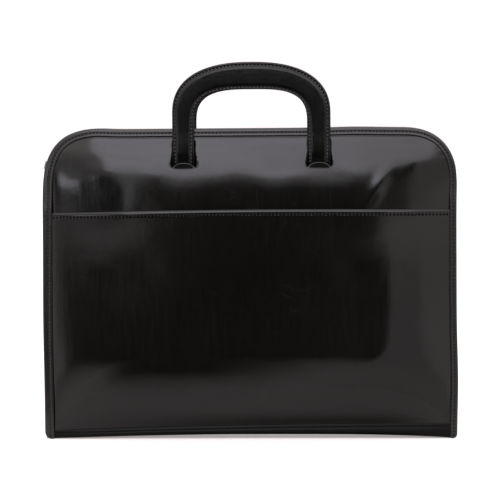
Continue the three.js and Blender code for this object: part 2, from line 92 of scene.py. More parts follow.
class Finish:
    # one material (or the world), and the one method that puts nodes in it
    def __init__(self, name, kind="materials"):
        self.material = getattr(bpy.data, kind).new(name)
        self.material.use_nodes = True
        self.tree = self.material.node_tree
        self.tree.nodes.clear()

    def node(self, kind, settings=None, sockets=None, out=0):
        made = self.tree.nodes.new(kind)
        for key, value in (settings or {}).items():
            setattr(made, key, value)
        for key, value in (sockets or {}).items():
            if isinstance(value, Wire):
                self.tree.links.new(value.socket, made.inputs[key])
            else:
                made.inputs[key].default_value = value
        return Wire(self, made.outputs[out]) if made.outputs else None

    def place(self, stretch=(1, 1, 1)):
        spot = self.node("ShaderNodeTexCoord", out="Object")
        return self.node("ShaderNodeVectorMath", {"operation": "MULTIPLY"}, {0: spot, 1: stretch})

    def noise(self, spot, layer, out="Fac"):
        scale, detail, rough = layer
        return self.node("ShaderNodeTexNoise", {"noise_dimensions": "3D"},
                         {"Vector": spot, "Scale": scale, "Detail": detail, "Roughness": rough}, out)

    def cellEdges(self, spot, scale):
        return self.node("ShaderNodeTexVoronoi", {"feature": "DISTANCE_TO_EDGE"},
                         {"Vector": spot, "Scale": scale}, "Distance")

    def between(self, mask, first, second):
        return self.node("ShaderNodeMix", {"data_type": "RGBA"}, {0: mask, 6: first, 7: second}, 2)

    def window(self, value, low, high):
        return self.node("ShaderNodeMapRange", {"interpolation_type": "SMOOTHSTEP"},
                         {0: value, 1: low, 2: high, 3: 0.0, 4: 1.0})

    def bump(self, height):
        # heights are in millimetres
        return self.node("ShaderNodeBump", {}, {"Height": height, "Distance": mm, "Strength": 1.0})

    def surface(self, sockets):
        shader = self.node("ShaderNodeBsdfPrincipled", {}, sockets)
        self.node("ShaderNodeOutputMaterial", {}, {"Surface": shader})
        return self

    def dress(self, look, mask, cloud, height):
        # the usual surface: two colours, a clouded gloss and a bump
        colour = self.between(mask, look["dark"], look["light"])
        return self.surface({"Base Color": colour, "Roughness": look["rough"] + cloud * look["roughSpread"],
                             "IOR": look["index"], "Normal": self.bump(height)})


# in every look, a layer of noise is its scale, detail and roughness, and heights are in millimetres
bridleLook = {
    "dark": (0.0017, 0.0017, 0.0015, 1),
    "light": (0.0030, 0.0029, 0.0026, 1),
    "worn": (0.35, 0.7),
    "rough": 0.11,
    "roughSpread": 0.10,
    "cloudSpread": 0.08,
    "index": 1.34,
    "cloud": (9.0, 4.0, 0.6),
    "streak": (420.0, 4.0, 0.62),
    "streakStretch": (1.0, 1.0, 0.09),   # the finish was brushed on up and down
    "streakHeight": 0.018,
    "wave": (26.0, 2.0, 0.45),
    "waveHeight": 0.10,
    "dimple": (92.0, 2.0, 0.5),
    "dimpleHeight": 0.030,
    "mottle": (330.0, 3.0, 0.6),
    "mottleHeight": 0.012,
    "pores": (2600.0, 2.0, 0.6),
    "poreHeight": 0.0030,
    "scuff": (0.0044, 0.0043, 0.0040, 1),    # faint thin scratches: edges of bent cells, in patches
    "scuffCells": 31.0,
    "scuffWidth": 0.014,
    "scuffBend": (26.0, 2.0, 0.5),
    "scuffSway": (0.03, 0.03, 0.03),
    "scuffPatches": (60.0, 2.0, 0.5),
    "scuffRange": (0.50, 0.62),
}


def bridleLeather(name, look):
    finish = Finish(name)
    spot = finish.place()
    streak = finish.noise(finish.place(look["streakStretch"]), look["streak"])
    layers = ("wave", "dimple", "mottle", "pores", "cloud")
    wave, dimple, mottle, pores, cloud = (finish.noise(spot, look[layer]) for layer in layers)
    worn = finish.window(cloud * 0.6 + streak * 0.4, *look["worn"])
    colour = finish.between(worn, look["dark"], look["light"])
    bent = finish.noise(spot, look["scuffBend"], "Color")
    bent = finish.node("ShaderNodeVectorMath", {"operation": "MULTIPLY_ADD"},
                       {0: bent, 1: look["scuffSway"], 2: spot})
    lines = finish.cellEdges(bent, look["scuffCells"])
    patches = finish.window(finish.noise(spot, look["scuffPatches"]), *look["scuffRange"])
    scuff = (1.0 - finish.window(lines, 0.0, look["scuffWidth"])) * patches
    colour = finish.between(scuff, colour, look["scuff"])
    rough = look["rough"] + (streak - 0.5) * look["roughSpread"] + (cloud - 0.5) * look["cloudSpread"]
    height = streak * look["streakHeight"] + wave * look["waveHeight"] + dimple * look["dimpleHeight"]
    height = height + mottle * look["mottleHeight"] + pores * look["poreHeight"]
    return finish.surface({"Base Color": colour, "Roughness": rough, "IOR": look["index"],
                           "Normal": finish.bump(height)})


strapLook = {
    "dark": (0.0008, 0.0008, 0.0008, 1),
    "light": (0.0019, 0.0019, 0.0018, 1),
    "rough": 0.17,
    "cloudSpread": 0.16,
    "grainGloss": 0.05,
    "index": 1.28,
    "cells": 900.0,
    "cellEdge": 0.28,
    "grainHeight": 0.020,
    "mottle": (430.0, 3.0, 0.6),
    "mottleHeight": 0.036,
    "fine": (1900.0, 3.0, 0.6),
    "fineHeight": 0.008,
    "cloud": (45.0, 4.0, 0.6),
    "cloudHeight": 0.05,
}


def strapLeather(name, look):
    finish = Finish(name)
    spot = finish.place()
    grain = finish.window(finish.cellEdges(spot, look["cells"]), 0.0, look["cellEdge"])
    fine, mottle, cloud = (finish.noise(spot, look[layer]) for layer in ("fine", "mottle", "cloud"))
    colour = finish.between(cloud * 0.7 + grain * 0.3, look["dark"], look["light"])
    rough = look["rough"] + (cloud - 0.5) * look["cloudSpread"] - grain * look["grainGloss"]
    height = grain * look["grainHeight"] + mottle * look["mottleHeight"]
    height = height + fine * look["fineHeight"] + cloud * look["cloudHeight"]
    return finish.surface({"Base Color": colour, "Roughness": rough, "IOR": look["index"],
                           "Normal": finish.bump(height)})


paintLook = {
    "dark": (0.004, 0.004, 0.004, 1),
    "light": (0.009, 0.0088, 0.0085, 1),
    "rough": 0.30,
    "roughSpread": 0.18,
    "index": 1.45,
    "cloud": (60.0, 3.0, 0.6),
    "ripple": (260.0, 3.0, 0.6),
    "rippleStretch": (1, 5, 1),
    "rippleHeight": 0.05,
}


def edgePaint(name, look):
    finish = Finish(name)
    ripple = finish.noise(finish.place(look["rippleStretch"]), look["ripple"])
    cloud = finish.noise(finish.place(), look["cloud"])
    return finish.dress(look, cloud, cloud, ripple * look["rippleHeight"])


threadLook = {
    "dark": (0.0005, 0.0005, 0.0005, 1),
    "light": (0.0022, 0.0022, 0.0021, 1),
    "rough": 0.42,
    "roughSpread": 0.2,
    "index": 1.12,
    "cloud": (120.0, 3.0, 0.6),
    "plies": 420.0,
    "twist": 1.2,
    "plyHeight": 0.05,
}


def waxedThread(name, look):
    finish = Finish(name)
    spot = finish.place()
    ply = finish.node("ShaderNodeTexWave", {"wave_type": "BANDS", "bands_direction": "DIAGONAL"},
                      {"Vector": spot, "Scale": look["plies"], "Distortion": look["twist"], "Detail": 1.0},
                      "Fac")
    cloud = finish.noise(spot, look["cloud"])
    return finish.dress(look, cloud * 0.5 + ply * 0.5, cloud, ply * look["plyHeight"])


# painted shade: these dark colours on the sewn grooves stand in for the shade that falls in them
grooveShadeLook = {
    "dark": (0.0006, 0.0006, 0.0006, 1),
    "light": (0.0016, 0.0016, 0.0015, 1),
    "rough": 0.55,
    "roughSpread": 0.2,
    "index": 1.12,
    "cloud": (300.0, 3.0, 0.6),
    "cloudHeight": 0.03,
}


def paintedGrooveShade(name, look):
    # the pressed line that a row of stitches lies in, coloured dark: painted shade for the shade that falls
    # in the narrow groove
    finish = Finish(name)
    cloud = finish.noise(finish.place(), look["cloud"])
    return finish.dress(look, cloud, cloud, cloud * look["cloudHeight"])


clothLook = {
    "dark": (0.006, 0.006, 0.0065, 1),
    "light": (0.022, 0.022, 0.023, 1),
    "rough": 0.75,
    "roughSpread": 0.15,
    "index": 1.45,
    "cloud": (80.0, 3.0, 0.6),
    "weft": 260.0,
    "warp": 210.0,
    "loose": 0.4,
    "weaveHeight": 0.12,
}


def zipCloth(name, look):
    finish = Finish(name)
    spot = finish.place()
    across, along, down = (
        finish.node("ShaderNodeTexWave", {"wave_type": "BANDS", "bands_direction": axis},
                    {"Vector": spot, "Scale": look[yarn], "Distortion": look["loose"]}, "Fac")
        for axis, yarn in (("Y", "weft"), ("X", "warp"), ("Z", "warp")))
    weave = across * 0.5 + along * down * 0.5
    cloud = finish.noise(spot, look["cloud"])
    return finish.dress(look, weave * 0.7 + cloud * 0.3, cloud, weave * look["weaveHeight"])


metalLook = {
    "dark": (0.10, 0.10, 0.105, 1),
    "light": (0.26, 0.255, 0.25, 1),
    "rubbed": (0.45, 0.75),
    "metallic": 0.92,
    "rough": 0.30,
    "roughSpread": 0.16,
    "cloud": (150.0, 3.0, 0.6),
    "brushed": (900.0, 3.0, 0.6),
    "brushStretch": (0.15, 1, 1),
    "brushHeight": 0.004,
}


def zipMetal(name, look):
    finish = Finish(name)
    brushed = finish.noise(finish.place(look["brushStretch"]), look["brushed"])
    rubbed = finish.window(finish.noise(finish.place(), look["cloud"]), *look["rubbed"])
    colour = finish.between(rubbed, look["dark"], look["light"])
    metallic = look["metallic"] + rubbed * (1 - look["metallic"])
    return finish.surface({"Base Color": colour, "Metallic": metallic,
                           "Roughness": look["rough"] + brushed * look["roughSpread"],
                           "Normal": finish.bump(brushed * look["brushHeight"])})


paperLook = {
    "dark": (0.46, 0.44, 0.435, 1),
    "light": (0.48, 0.46, 0.455, 1),
    "rough": 0.8,
    "roughSpread": 0.1,
    "index": 1.2,
    "cloud": (3.0, 3.0, 0.5),
    "glow": 0.7,            # a lit table top
}


def studioPaper(name, look):
    finish = Finish(name)
    cloud = finish.noise(finish.place(), look["cloud"])
    colour = finish.between(cloud, look["dark"], look["light"])
    return finish.surface({"Base Color": colour, "Roughness": look["rough"] + cloud * look["roughSpread"],
                           "IOR": look["index"], "Emission Color": colour, "Emission Strength": look["glow"]})


stageLook = {
    "flagDark": (0.006, 0.006, 0.006, 1),
    "flagLight": (0.012, 0.012, 0.012, 1),
    "flagCloud": (40.0, 3.0, 0.5),
    "lampFolds": (15.0, 3.0, 0.55),
    "lampRange": (0.34, 0.62),
    "lampLeast": 0.56,
}


def fadedCloth(finish, fades, shader, mask=1.0):
    # a cloth that thins out towards its edges; fades: axis, where it starts, where it is full,
    # and what is left of it beyond the start, if not nothing
    spot = finish.place()
    clear = finish.node("ShaderNodeBsdfTransparent")
    for axis, start, full, *least in fades:
        value = finish.node("ShaderNodeSeparateXYZ", {}, {0: spot}, axis)
        left = sum(least)
        mask = (finish.window(value, start, full) * (1 - left) + left) * mask
    mixed = finish.node("ShaderNodeMixShader", {}, {0: mask, 1: clear, 2: shader})
    finish.node("ShaderNodeOutputMaterial", {}, {"Surface": mixed})
    return finish


def flagCloth(name, fades):
    finish = Finish(name)
    cloud = finish.noise(finish.place(), stageLook["flagCloud"])
    dark, light = (finish.node("ShaderNodeBsdfDiffuse", {}, {"Color": stageLook[tone]})
                   for tone in ("flagDark", "flagLight"))
    return fadedCloth(finish, fades, finish.node("ShaderNodeMixShader", {}, {0: cloud, 1: dark, 2: light}))


def lampCloth(name, fades, colour, strength):
    finish = Finish(name)
    folds = finish.window(finish.noise(finish.place(), stageLook["lampFolds"]), *stageLook["lampRange"])
    glow = finish.node("ShaderNodeEmission", {}, {"Color": colour, "Strength": strength})
    least = stageLook["lampLeast"]
    return fadedCloth(finish, fades, glow, least + folds * (1 - least))


panelFinish = bridleLeather("panelBridle", bridleLook)
edgeFinish = bridleLeather("edgeBridle", dict(
    bridleLook, rough=0.22, streakStretch=(1, 1, 0.5), waveHeight=0.06, index=1.38))
baseFinish = bridleLeather("baseBridle", dict(
    bridleLook, rough=0.34, streakStretch=(0.3, 1, 1), index=1.165))
grooveShadeFinish = paintedGrooveShade("paintedGrooveShade", grooveShadeLook)
strapFinish = strapLeather("strapLeather", strapLook)
paintFinish = edgePaint("edgePaint", paintLook)
threadFinish = waxedThread("waxedThread", threadLook)
bindingThread = waxedThread("bindingThread", dict(
    threadLook, dark=(0.002, 0.002, 0.002, 1), light=(0.006, 0.006, 0.0058, 1), index=1.18))
handleThread = waxedThread("handleThread", dict(
    threadLook, dark=(0.020, 0.020, 0.0196, 1), light=(0.051, 0.050, 0.049, 1), index=1.34))
clothFinish = zipCloth("zipCloth", clothLook)
metalFinish = zipMetal("zipMetal", metalLook)
print("finishes made:", len(bpy.data.materials))


def ramp(low, high, value):
    t = np.clip((value - low) / (high - low), 0.0, 1.0)
    return t * t * (3.0 - 2.0 * t)


# the forms of the pieces are in millimetres, the camera and the studio in metres
sway = {
    # the leather is not quite even: place along the edge, spread, and push outwards
    "right": [(55.0, 38.0, 1.2), (268.0, 30.0, 1.3)],
    "left": [(110.0, 60.0, 0.8), (262.0, 30.0, -0.5)],
    "top": [(100.0, 30.0, 0.75), (-143.0, 14.0, 0.7)],
    "sideRange": (40, 194),     # the push grows from the middle to the sides
    "topRange": (240, 286),     # and towards the top
    "clearRange": (296, 300),   # the handles above stay as they are
}


def swayed(points):
    points = np.array(points, float)
    for side, hand in (("right", 1), ("left", -1)):
        share = hand * ramp(*sway["sideRange"], hand * points[:, 0])
        for level, spread, push in sway[side]:
            points[:, 0] += share * push * np.exp(-((points[:, 2] - level) / spread) ** 2)
    share = ramp(*sway["topRange"], points[:, 2]) * (1 - ramp(*sway["clearRange"], points[:, 2]))
    for middle, spread, push in sway["top"]:
        points[:, 2] += share * push * np.exp(-((points[:, 0] - middle) / spread) ** 2)
    return points


meshCare = {
    "weld": 0.000008,       # metres
    "sliver": 0.000004,
}


def makePiece(name, points, faces, finish, sharp=42.0, shadedGrooveFaces=None):
    # for each face: whether it lies in a sewn groove, and so takes the painted groove shade
    mesh = bpy.data.meshes.new(name)
    mesh.from_pydata((swayed(points) * mm).tolist(), [], faces)
    if shadedGrooveFaces is not None:
        mesh.polygons.foreach_set("material_index", np.array(shadedGrooveFaces, np.int32))
    work = bmesh.new()
    work.from_mesh(mesh)
    bmesh.ops.remove_doubles(work, verts=work.verts, dist=meshCare["weld"])
    bmesh.ops.dissolve_degenerate(work, edges=work.edges, dist=meshCare["sliver"])
    bmesh.ops.recalc_face_normals(work, faces=work.faces)
    work.to_mesh(mesh)
    work.free()
    mesh.shade_smooth()
    mesh.set_sharp_from_angle(angle=math.radians(sharp))
    mesh.materials.append(finish.material)
    # the second finish, on the groove faces, is painted shade
    if shadedGrooveFaces is not None:
        mesh.materials.append(grooveShadeFinish.material)
    piece = bpy.data.objects.new(name, mesh)
    scene.collection.objects.link(piece)
    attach(piece, "root")
    return piece


def sheetSolid(x, z, outer, inner, side, keep=None):
    # a sheet from a grid: outer face, inner face, and walls round whatever isn't kept
    rows, columns = x.shape
    count = rows * columns
    if keep is None:
        keep = np.ones((rows - 1, columns - 1), bool)
    front = np.stack([x, side * outer, z], axis=-1).reshape(-1, 3)
    back = np.stack([x, side * inner, z], axis=-1).reshape(-1, 3)
    faces = []
    for r in range(rows - 1):
        for c in range(columns - 1):
            if not keep[r, c]:
                continue
            a = r * columns + c
            b = a + 1
            d = a + columns
            e = d + 1
            faces.append((a, b, e, d))
            faces.append((count + a, count + d, count + e, count + b))
            if r == 0 or not keep[r - 1, c]:
                faces.append((a, count + a, count + b, b))
            if r == rows - 2 or not keep[r + 1, c]:
                faces.append((d, e, count + e, count + d))
            if c == 0 or not keep[r, c - 1]:
                faces.append((a, d, count + d, count + a))
            if c == columns - 2 or not keep[r, c + 1]:
                faces.append((b, count + b, count + e, e))
    return np.vstack([front, back]), faces


def loopFaces(rows, count):
    # loops of points one after another, closed at both ends
    faces = []
    for r in range(rows - 1):
        for c in range(count):
            d = (c + 1) % count
            faces.append((r * count + c, r * count + d, (r + 1) * count + d, (r + 1) * count + c))
    faces.append(tuple(range(count - 1, -1, -1)))
    faces.append(tuple(range((rows - 1) * count, rows * count)))
    return faces


def shadedGrooveLoops(rows, count, columns):
    shadedGrooveFaces = np.zeros((rows - 1, count), np.int32)
    shadedGrooveFaces[:, columns] = 1
    return np.concatenate([shadedGrooveFaces.ravel(), [0, 0]])


def sweepSolid(stations, sections, side):
    # stations: x, z and the way out; sections: closed loops of (out, depth)
    x = stations[:, 0:1] + stations[:, 2:3] * sections[:, :, 0]
    z = stations[:, 1:2] + stations[:, 3:4] * sections[:, :, 0]
    points = np.stack([x, side * sections[:, :, 1], z], axis=-1).reshape(-1, 3)
    return points, loopFaces(len(stations), sections.shape[1])


def shifted(faces, base):
    return [tuple(base + v for v in face) for face in faces]


def lengthAlong(line):
    steps = np.linalg.norm(np.diff(line, axis=0), axis=1)
    return np.concatenate([[0.0], np.cumsum(steps)])


def evenly(line, step=None, count=None):
    gone = lengthAlong(line)
    count = count or max(2, int(round(gone[-1] / step)) + 1)
    marks = np.linspace(0.0, gone[-1], count)
    return np.column_stack([np.interp(marks, gone, line[:, k]) for k in range(line.shape[1])])


def spaced(low, high, coarse, fine, zones, exact=()):
    # marks from low to high, fine in the zones, with the exact ones among them
    marks = [low]
    while marks[-1] < high - 0.3 * fine:
        here = marks[-1]
        near = any(a - coarse < here < b for a, b in zones)
        marks.append(min(high, here + (fine if near else coarse)))
    marks = np.array(marks)
    for spot in exact:
        marks = marks[np.abs(marks - spot) > 0.12 * fine]
    return np.unique(np.concatenate([marks, np.array(exact, float)]))


caseForm = {
    "halfWidth": 194.2,     # to the cut edge of the panels
    "top": 292.5,
    "foot": 2.4,            # lower edge of the panels and the pocket
    "cornerAcross": 52.7,
    "cornerUp": 60.7,
    "cornerPower": 2.6,
    "seam": 6.3,            # the binding's reach over the panel
    "bow": 9.0,
    "bowReach": 70.0,
    "bowPower": 2.2,
    "shoulder": 0.4,        # where the leather comes out from under the binding
    "panelFace": 14.8,      # depths from the middle of the case
    "panelThick": 1.8,
    "baseTop": 12.6,        # the base strip's seam at the back
    "frontSeam": (13.0, 0.0161, 0.0000495),     # and at the front: level, tilt and fall
    "lift": 3.9,            # the base stands a little off the floor between its corners
    "liftReach": 192.0,
    "liftPowers": (1.8, 4.0),       # left and right
}
cornerX = caseForm["halfWidth"] - caseForm["cornerAcross"]
cornerLevel = caseForm["top"] - caseForm["cornerUp"]


def rimReach(z):
    power = caseForm["cornerPower"]
    up = np.clip((z - cornerLevel) / caseForm["cornerUp"], 0, 1)
    return cornerX + caseForm["cornerAcross"] * (1 - up ** power) ** (1 / power)


def rimTop(x):
    power = caseForm["cornerPower"]
    across = np.clip((np.abs(x) - cornerX) / caseForm["cornerAcross"], 0, 1)
    return cornerLevel + caseForm["cornerUp"] * (1 - across ** power) ** (1 / power)


def rimLine(foot):
    # the panels' cut edge, up the left side, over the top and down the right
    power = 2 / caseForm["cornerPower"]
    level = np.linspace(foot, cornerLevel, 160)
    turn = np.linspace(0.0, math.pi / 2, 200)
    arc = np.column_stack([cornerX + caseForm["cornerAcross"] * np.cos(turn) ** power,
                           cornerLevel + caseForm["cornerUp"] * np.sin(turn) ** power])
    right = np.column_stack([np.full(len(level), caseForm["halfWidth"]), level])
    half = np.vstack([right, arc[1:]])
    return np.vstack([half * (-1, 1), half[::-1]])


def rimStations(line):
    run = np.gradient(line, axis=0)
    run /= np.linalg.norm(run, axis=1)[:, None]
    return np.column_stack([line, -run[:, 1], run[:, 0]])


def baseTopAt(x):
    # the front seam isn't level: the strip is narrower on the left
    level, tilt, fall = caseForm["frontSeam"]
    return level + tilt * x - fall * x * x


def baseLift(x):
    # higher on the right, up to near the corner
    left, right = caseForm["liftPowers"]
    away = np.abs(x / caseForm["liftReach"]) ** np.where(x < 0, left, right)
    return caseForm["lift"] * np.clip(1 - away, 0, 1)


slitForm = {
    "legs": (-60.85, 66.65),    # middle of each handle leg
    "half": 10.9,
    "level": 256.9,
    "rise": 4.8,
    "archPowers": (2.4, 0.8),
    "height": 6.2,
    "lipLift": 1.15,        # the lip stands out over the leg's end
    "lipFoot": 1.5,         # from this far under the slit's ends
    "lipPast": 1.0,         # and past its sides
    "grooveBow": 1.3,       # the panel gives way behind the leg
    "grooveEdge": (10.5, 11.4, 2.0),    # full, gone higher up, and how much wider at the slit
    "grooveLevels": (256, 274),         # the slit, and higher up
    "round": 0.8,           # rounded cut edge
    "roundDepth": 0.6,
    "archBelow": (26, 3),   # the mesh follows the arch this far under and over the slit
    "archAbove": (3, 22),
}


def slitArch(off):
    first, second = slitForm["archPowers"]
    return slitForm["rise"] * (1 - np.clip(np.abs(off) / slitForm["half"], 0, 1) ** first) ** second


# soft waves: height, step sideways and upwards, phase; the pocket hangs clear of those under it
waves = {
    "front": [(0.22, 118.0, 260.0, 0.7), (0.14, 74.0, -150.0, 2.3), (0.10, 47.0, 190.0, 4.4)],
    "pocket": [(0.26, 132.0, 310.0, 1.9), (0.16, 83.0, -170.0, 0.4), (0.08, 51.0, 120.0, 3.1)],
    "back": [(0.22, 126.0, -240.0, 2.9), (0.14, 79.0, 165.0, 5.2), (0.10, 52.0, 210.0, 1.1)],
    "under": [],
}
# soft dents and a fold from handling: place, spread, height, and how far the fold leans
dents = {
    "front": [(-138.0, 253.0, 13.0, 10.0, 0.40), (-166.0, 256.0, 9.0, 8.0, -0.15),
              (-149.0, 263.0, 6.0, 5.0, -0.14), (121.5, 238.5, 5.4, 17.0, 0.86, 29.4),
              (158.0, 262.0, 12.0, 15.0, 0.60), (85.0, 234.0, 45.0, 14.0, 0.14),
              (-88.0, 281.0, 7.0, 2.6, -0.10)],
    "pocket": [(-140.0, 166.0, 7.0, 9.0, 0.05), (-118.0, 170.0, 6.0, 11.0, -0.05),
               (146.0, 170.0, 16.0, 30.0, 0.3)],
    "back": [(96.0, 258.0, 14.0, 10.0, 0.3), (-132.0, 120.0, 20.0, 34.0, -0.35)],
    "under": [],
}
softReach = {"waves": 40, "dents": 8}       # how far from a seam they are full


def softWave(x, z, name, seam):
    total = np.zeros_like(x)
    for height, sideStep, upStep, phase in waves[name]:
        total = total + height * np.sin(2 * math.pi * (x / sideStep + z / upStep) + phase)
    total = total * ramp(0, softReach["waves"], seam)
    for middle, level, wide, tall, height, *lean in dents[name]:
        turn = math.radians(sum(lean))
        across = (x - middle) * math.cos(turn) - (z - level) * math.sin(turn)
        along = (x - middle) * math.sin(turn) + (z - level) * math.cos(turn)
        dent = height * np.exp(-(across / wide) ** 2 - (along / tall) ** 2)
        total = total + dent * ramp(0, softReach["dents"], seam)
    return total


def rise(distance):
    return 1 - (1 - np.clip(distance / caseForm["bowReach"], 0, 1)) ** caseForm["bowPower"]


def edgeGaps(x, z, foot):
    # distances to the binding at the side and the top, and to the base strip
    seam = caseForm["seam"]
    return rimReach(z) - seam - np.abs(x), rimTop(x) - seam - z, z - foot


def panelBow(x, z, foot, surface):
    form = slitForm
    across, up, down = edgeGaps(x, z, foot)
    sideways, upwards = np.maximum(across, 0.001), np.maximum(up, 0.001)
    toRim = sideways * upwards / np.hypot(sideways, upwards)
    bow = caseForm["bow"] * rise(toRim) * rise(down) + caseForm["shoulder"] * (1 - np.exp(-toRim))
    bow = bow + softWave(x, z, surface, np.minimum(np.minimum(across, up), down))
    full, gone, wider = form["grooveEdge"]
    gone = gone + wider * (1 - ramp(*form["grooveLevels"], z))
    lipLow = form["level"] - form["lipFoot"]
    for leg in form["legs"]:
        off = x - leg
        lip = form["level"] + slitArch(off)
        behind = 1 - ramp(0, 1, (np.abs(off) - full) / (gone - full))
        above = ramp(lip - 0.5, lip + form["height"] * 0.7, z)
        bow = bow - behind * above * np.maximum(0, bow - form["grooveBow"])
        arched = np.clip(1 - (off / (form["half"] + form["lipPast"])) ** 4, 0, 1)
        curl = np.clip((np.minimum(z, lip) - lipLow) / (form["rise"] + form["lipFoot"]), 0, 1) ** 2
        bow = bow + form["lipLift"] * arched * curl * (1 - above)
    return bow


panelMesh = {
    "steps": (3.2, 1.0),        # coarse, and fine round the slits
    "fineBeside": 12,
    "fineLevels": (238, 288),
    "wallMarks": (-0.5, 0, 0.25, 0.55, 0.95, 1.5),      # close to the slits' walls and ends
    "endMarks": (0, 0.25, 0.55, 0.95),
    "liftRange": (2.0, 40.0),   # the foot follows the base
}


def panelPiece(name, node, side, foot, surface):
    form, plan = slitForm, panelMesh
    half = form["half"]
    low, high = form["level"], form["level"] + form["height"]
    beside = plan["fineBeside"]
    zones = [(leg - half - beside, leg + half + beside) for leg in form["legs"]]
    walls = []
    for leg in form["legs"]:
        for hand in (-1, 1):
            walls += [leg + hand * (half + out) for out in plan["wallMarks"]]
    ends = [low - out for out in plan["endMarks"]] + [high + out for out in plan["endMarks"]]
    x = spaced(-caseForm["halfWidth"], caseForm["halfWidth"], *plan["steps"], zones, walls)
    s = spaced(caseForm["foot"], caseForm["top"], *plan["steps"], [plan["fineLevels"]], ends)
    gridX, gridS = np.meshgrid(x, s)
    arch = np.zeros_like(gridX)
    gap = np.full_like(gridX, 99.0)
    for leg in form["legs"]:
        off = gridX - leg
        arch = arch + slitArch(off)
        past = np.maximum(np.maximum(low - gridS, gridS - high), 0)
        gap = np.minimum(gap, np.hypot(np.maximum(np.abs(off) - half, 0), past))
    under, over = form["archBelow"], form["archAbove"]
    hat = ramp(low - under[0], low - under[1], gridS) * (1 - ramp(high + over[0], high + over[1], gridS))
    gridZ = gridS + arch * hat + baseLift(gridX) * (1 - ramp(*plan["liftRange"], gridS))
    reach = rimReach(gridZ)
    gridX = np.clip(gridX, -reach, reach)
    outer = caseForm["panelFace"] + panelBow(gridX, gridZ, foot(gridX), surface)
    inner = outer - caseForm["panelThick"]
    worn = form["roundDepth"] * (1 - np.clip(gap / form["round"], 0, 1)) ** 2
    cellX, cellS = np.meshgrid((x[:-1] + x[1:]) / 2, (s[:-1] + s[1:]) / 2)
    opened = np.zeros(cellX.shape, bool)
    for leg in form["legs"]:
        opened |= (np.abs(cellX - leg) < half) & (cellS > low) & (cellS < high)
    points, faces = sheetSolid(gridX, gridZ, outer - worn, inner + worn * 0.5, side, ~opened)
    piece = makePiece(name, points, faces, panelFinish)
    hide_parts(node)


backingForm = {
    "half": 17,
    "levels": (238, 283),
    "inside": 11.6,
    "face": 12.5,
    "crown": 0.2,
}


def slitBacking(name, side):
    # a small leather facing glued behind each slit
    form = backingForm
    points, faces = [], []
    for leg in slitForm["legs"]:
        x, z = np.meshgrid(np.linspace(leg - form["half"], leg + form["half"], 18),
                           np.linspace(*form["levels"], 22))
        bow = caseForm["bow"] * rise(edgeGaps(x, z, caseForm["baseTop"])[1])
        crown = 1 - ((x - leg) / form["half"]) ** 6
        outer = form["face"] + form["crown"] * np.clip(bow, 0, 1) * np.clip(crown, 0, 1)
        more, moreFaces = sheetSolid(x, z, outer, form["inside"] + 0 * x, side)
        faces += shifted(moreFaces, len(points))
        points += more.tolist()
    makePiece(name, points, faces, strapFinish)


panelPiece("frontPanel", "front_panel", -1, baseTopAt, "front")
panelPiece("backPanel", "back_panel", 1, lambda x: caseForm["baseTop"] + 0 * x, "back")
slitBacking("slitBackingFront", -1)
slitBacking("slitBackingBack", 1)
print("panels made")


pocketForm = {
    "mouth": 215.6,
    "mouthRise": 2.0,       # in the middle
    "mouthHalf": 188.0,
    "mouthTilt": 0.0035,
    "thick": 1.4,
    "gap": 0.3,
    "slack": 4.4,
    "slackReach": 71.9,
    "slackLevel": 84.0,
    "waveShare": 0.8,
    "calm": (140, 195, 0.75),       # the waves fade towards the mouth
    "hem": 5.4,
    "hemProud": 0.85,
    "hemLean": 0.45,        # it leans back towards the mouth
    "hemEnds": (-1, 10),
    "roll": 2.0,
    "stitchDrop": 4.5,
    "groove": 0.3,
    "grooveHalf": 0.55,
    "columnSteps": (0.0165, 0.008),     # of the half width, finer at the ends
    "columnEnds": [(-1.0, -0.88), (0.88, 1.0)],
    # rows under the mouth: the first ones, then from, to and step
    "mouthRows": [0, 0.05, 0.12, 0.22, 0.36, 0.54, 0.76, 1.0, 1.25],
    "lowerRows": [(1.5, 8.2, 0.3), (8.6, 30, 2.2), (31, 150, 3.4), (150, 211.4, 2.2)],
    "rowSpan": 211.2,
    "leastRow": 0.006,
}


def mouthAt(x):
    form = pocketForm
    return form["mouth"] + form["mouthRise"] * (1 - (x / form["mouthHalf"]) ** 2) + form["mouthTilt"] * x


def pocketFace(x, z):
    form = pocketForm
    foot = baseTopAt(x)
    across, _, down = edgeGaps(x, z, foot)
    hung = form["slack"] * ramp(0, form["slackReach"], across) * ramp(foot, form["slackLevel"], z)
    face = caseForm["panelFace"] + panelBow(x, z, foot, "under") + form["gap"] + form["thick"]
    soft = softWave(x, z, "pocket", np.minimum(across, down)) * form["waveShare"] * ramp(0, 3, hung)
    low, high, calmed = form["calm"]
    return face + hung + soft * (1 - calmed * ramp(low, high, z))


def hemRelief(x, z):
    form = pocketForm
    drop = mouthAt(x) - z
    lean = 1 - form["hemLean"] * np.clip(1 - drop / form["stitchDrop"], 0, 1) ** 2
    proud = form["hemProud"] * lean * (1 - ramp(form["hem"] - 0.8, form["hem"] + 0.6, drop))
    groove = form["groove"] * np.exp(-((drop - form["stitchDrop"]) / form["grooveHalf"]) ** 2)
    return (proud - groove) * ramp(*form["hemEnds"], caseForm["halfWidth"] - caseForm["seam"] - np.abs(x))


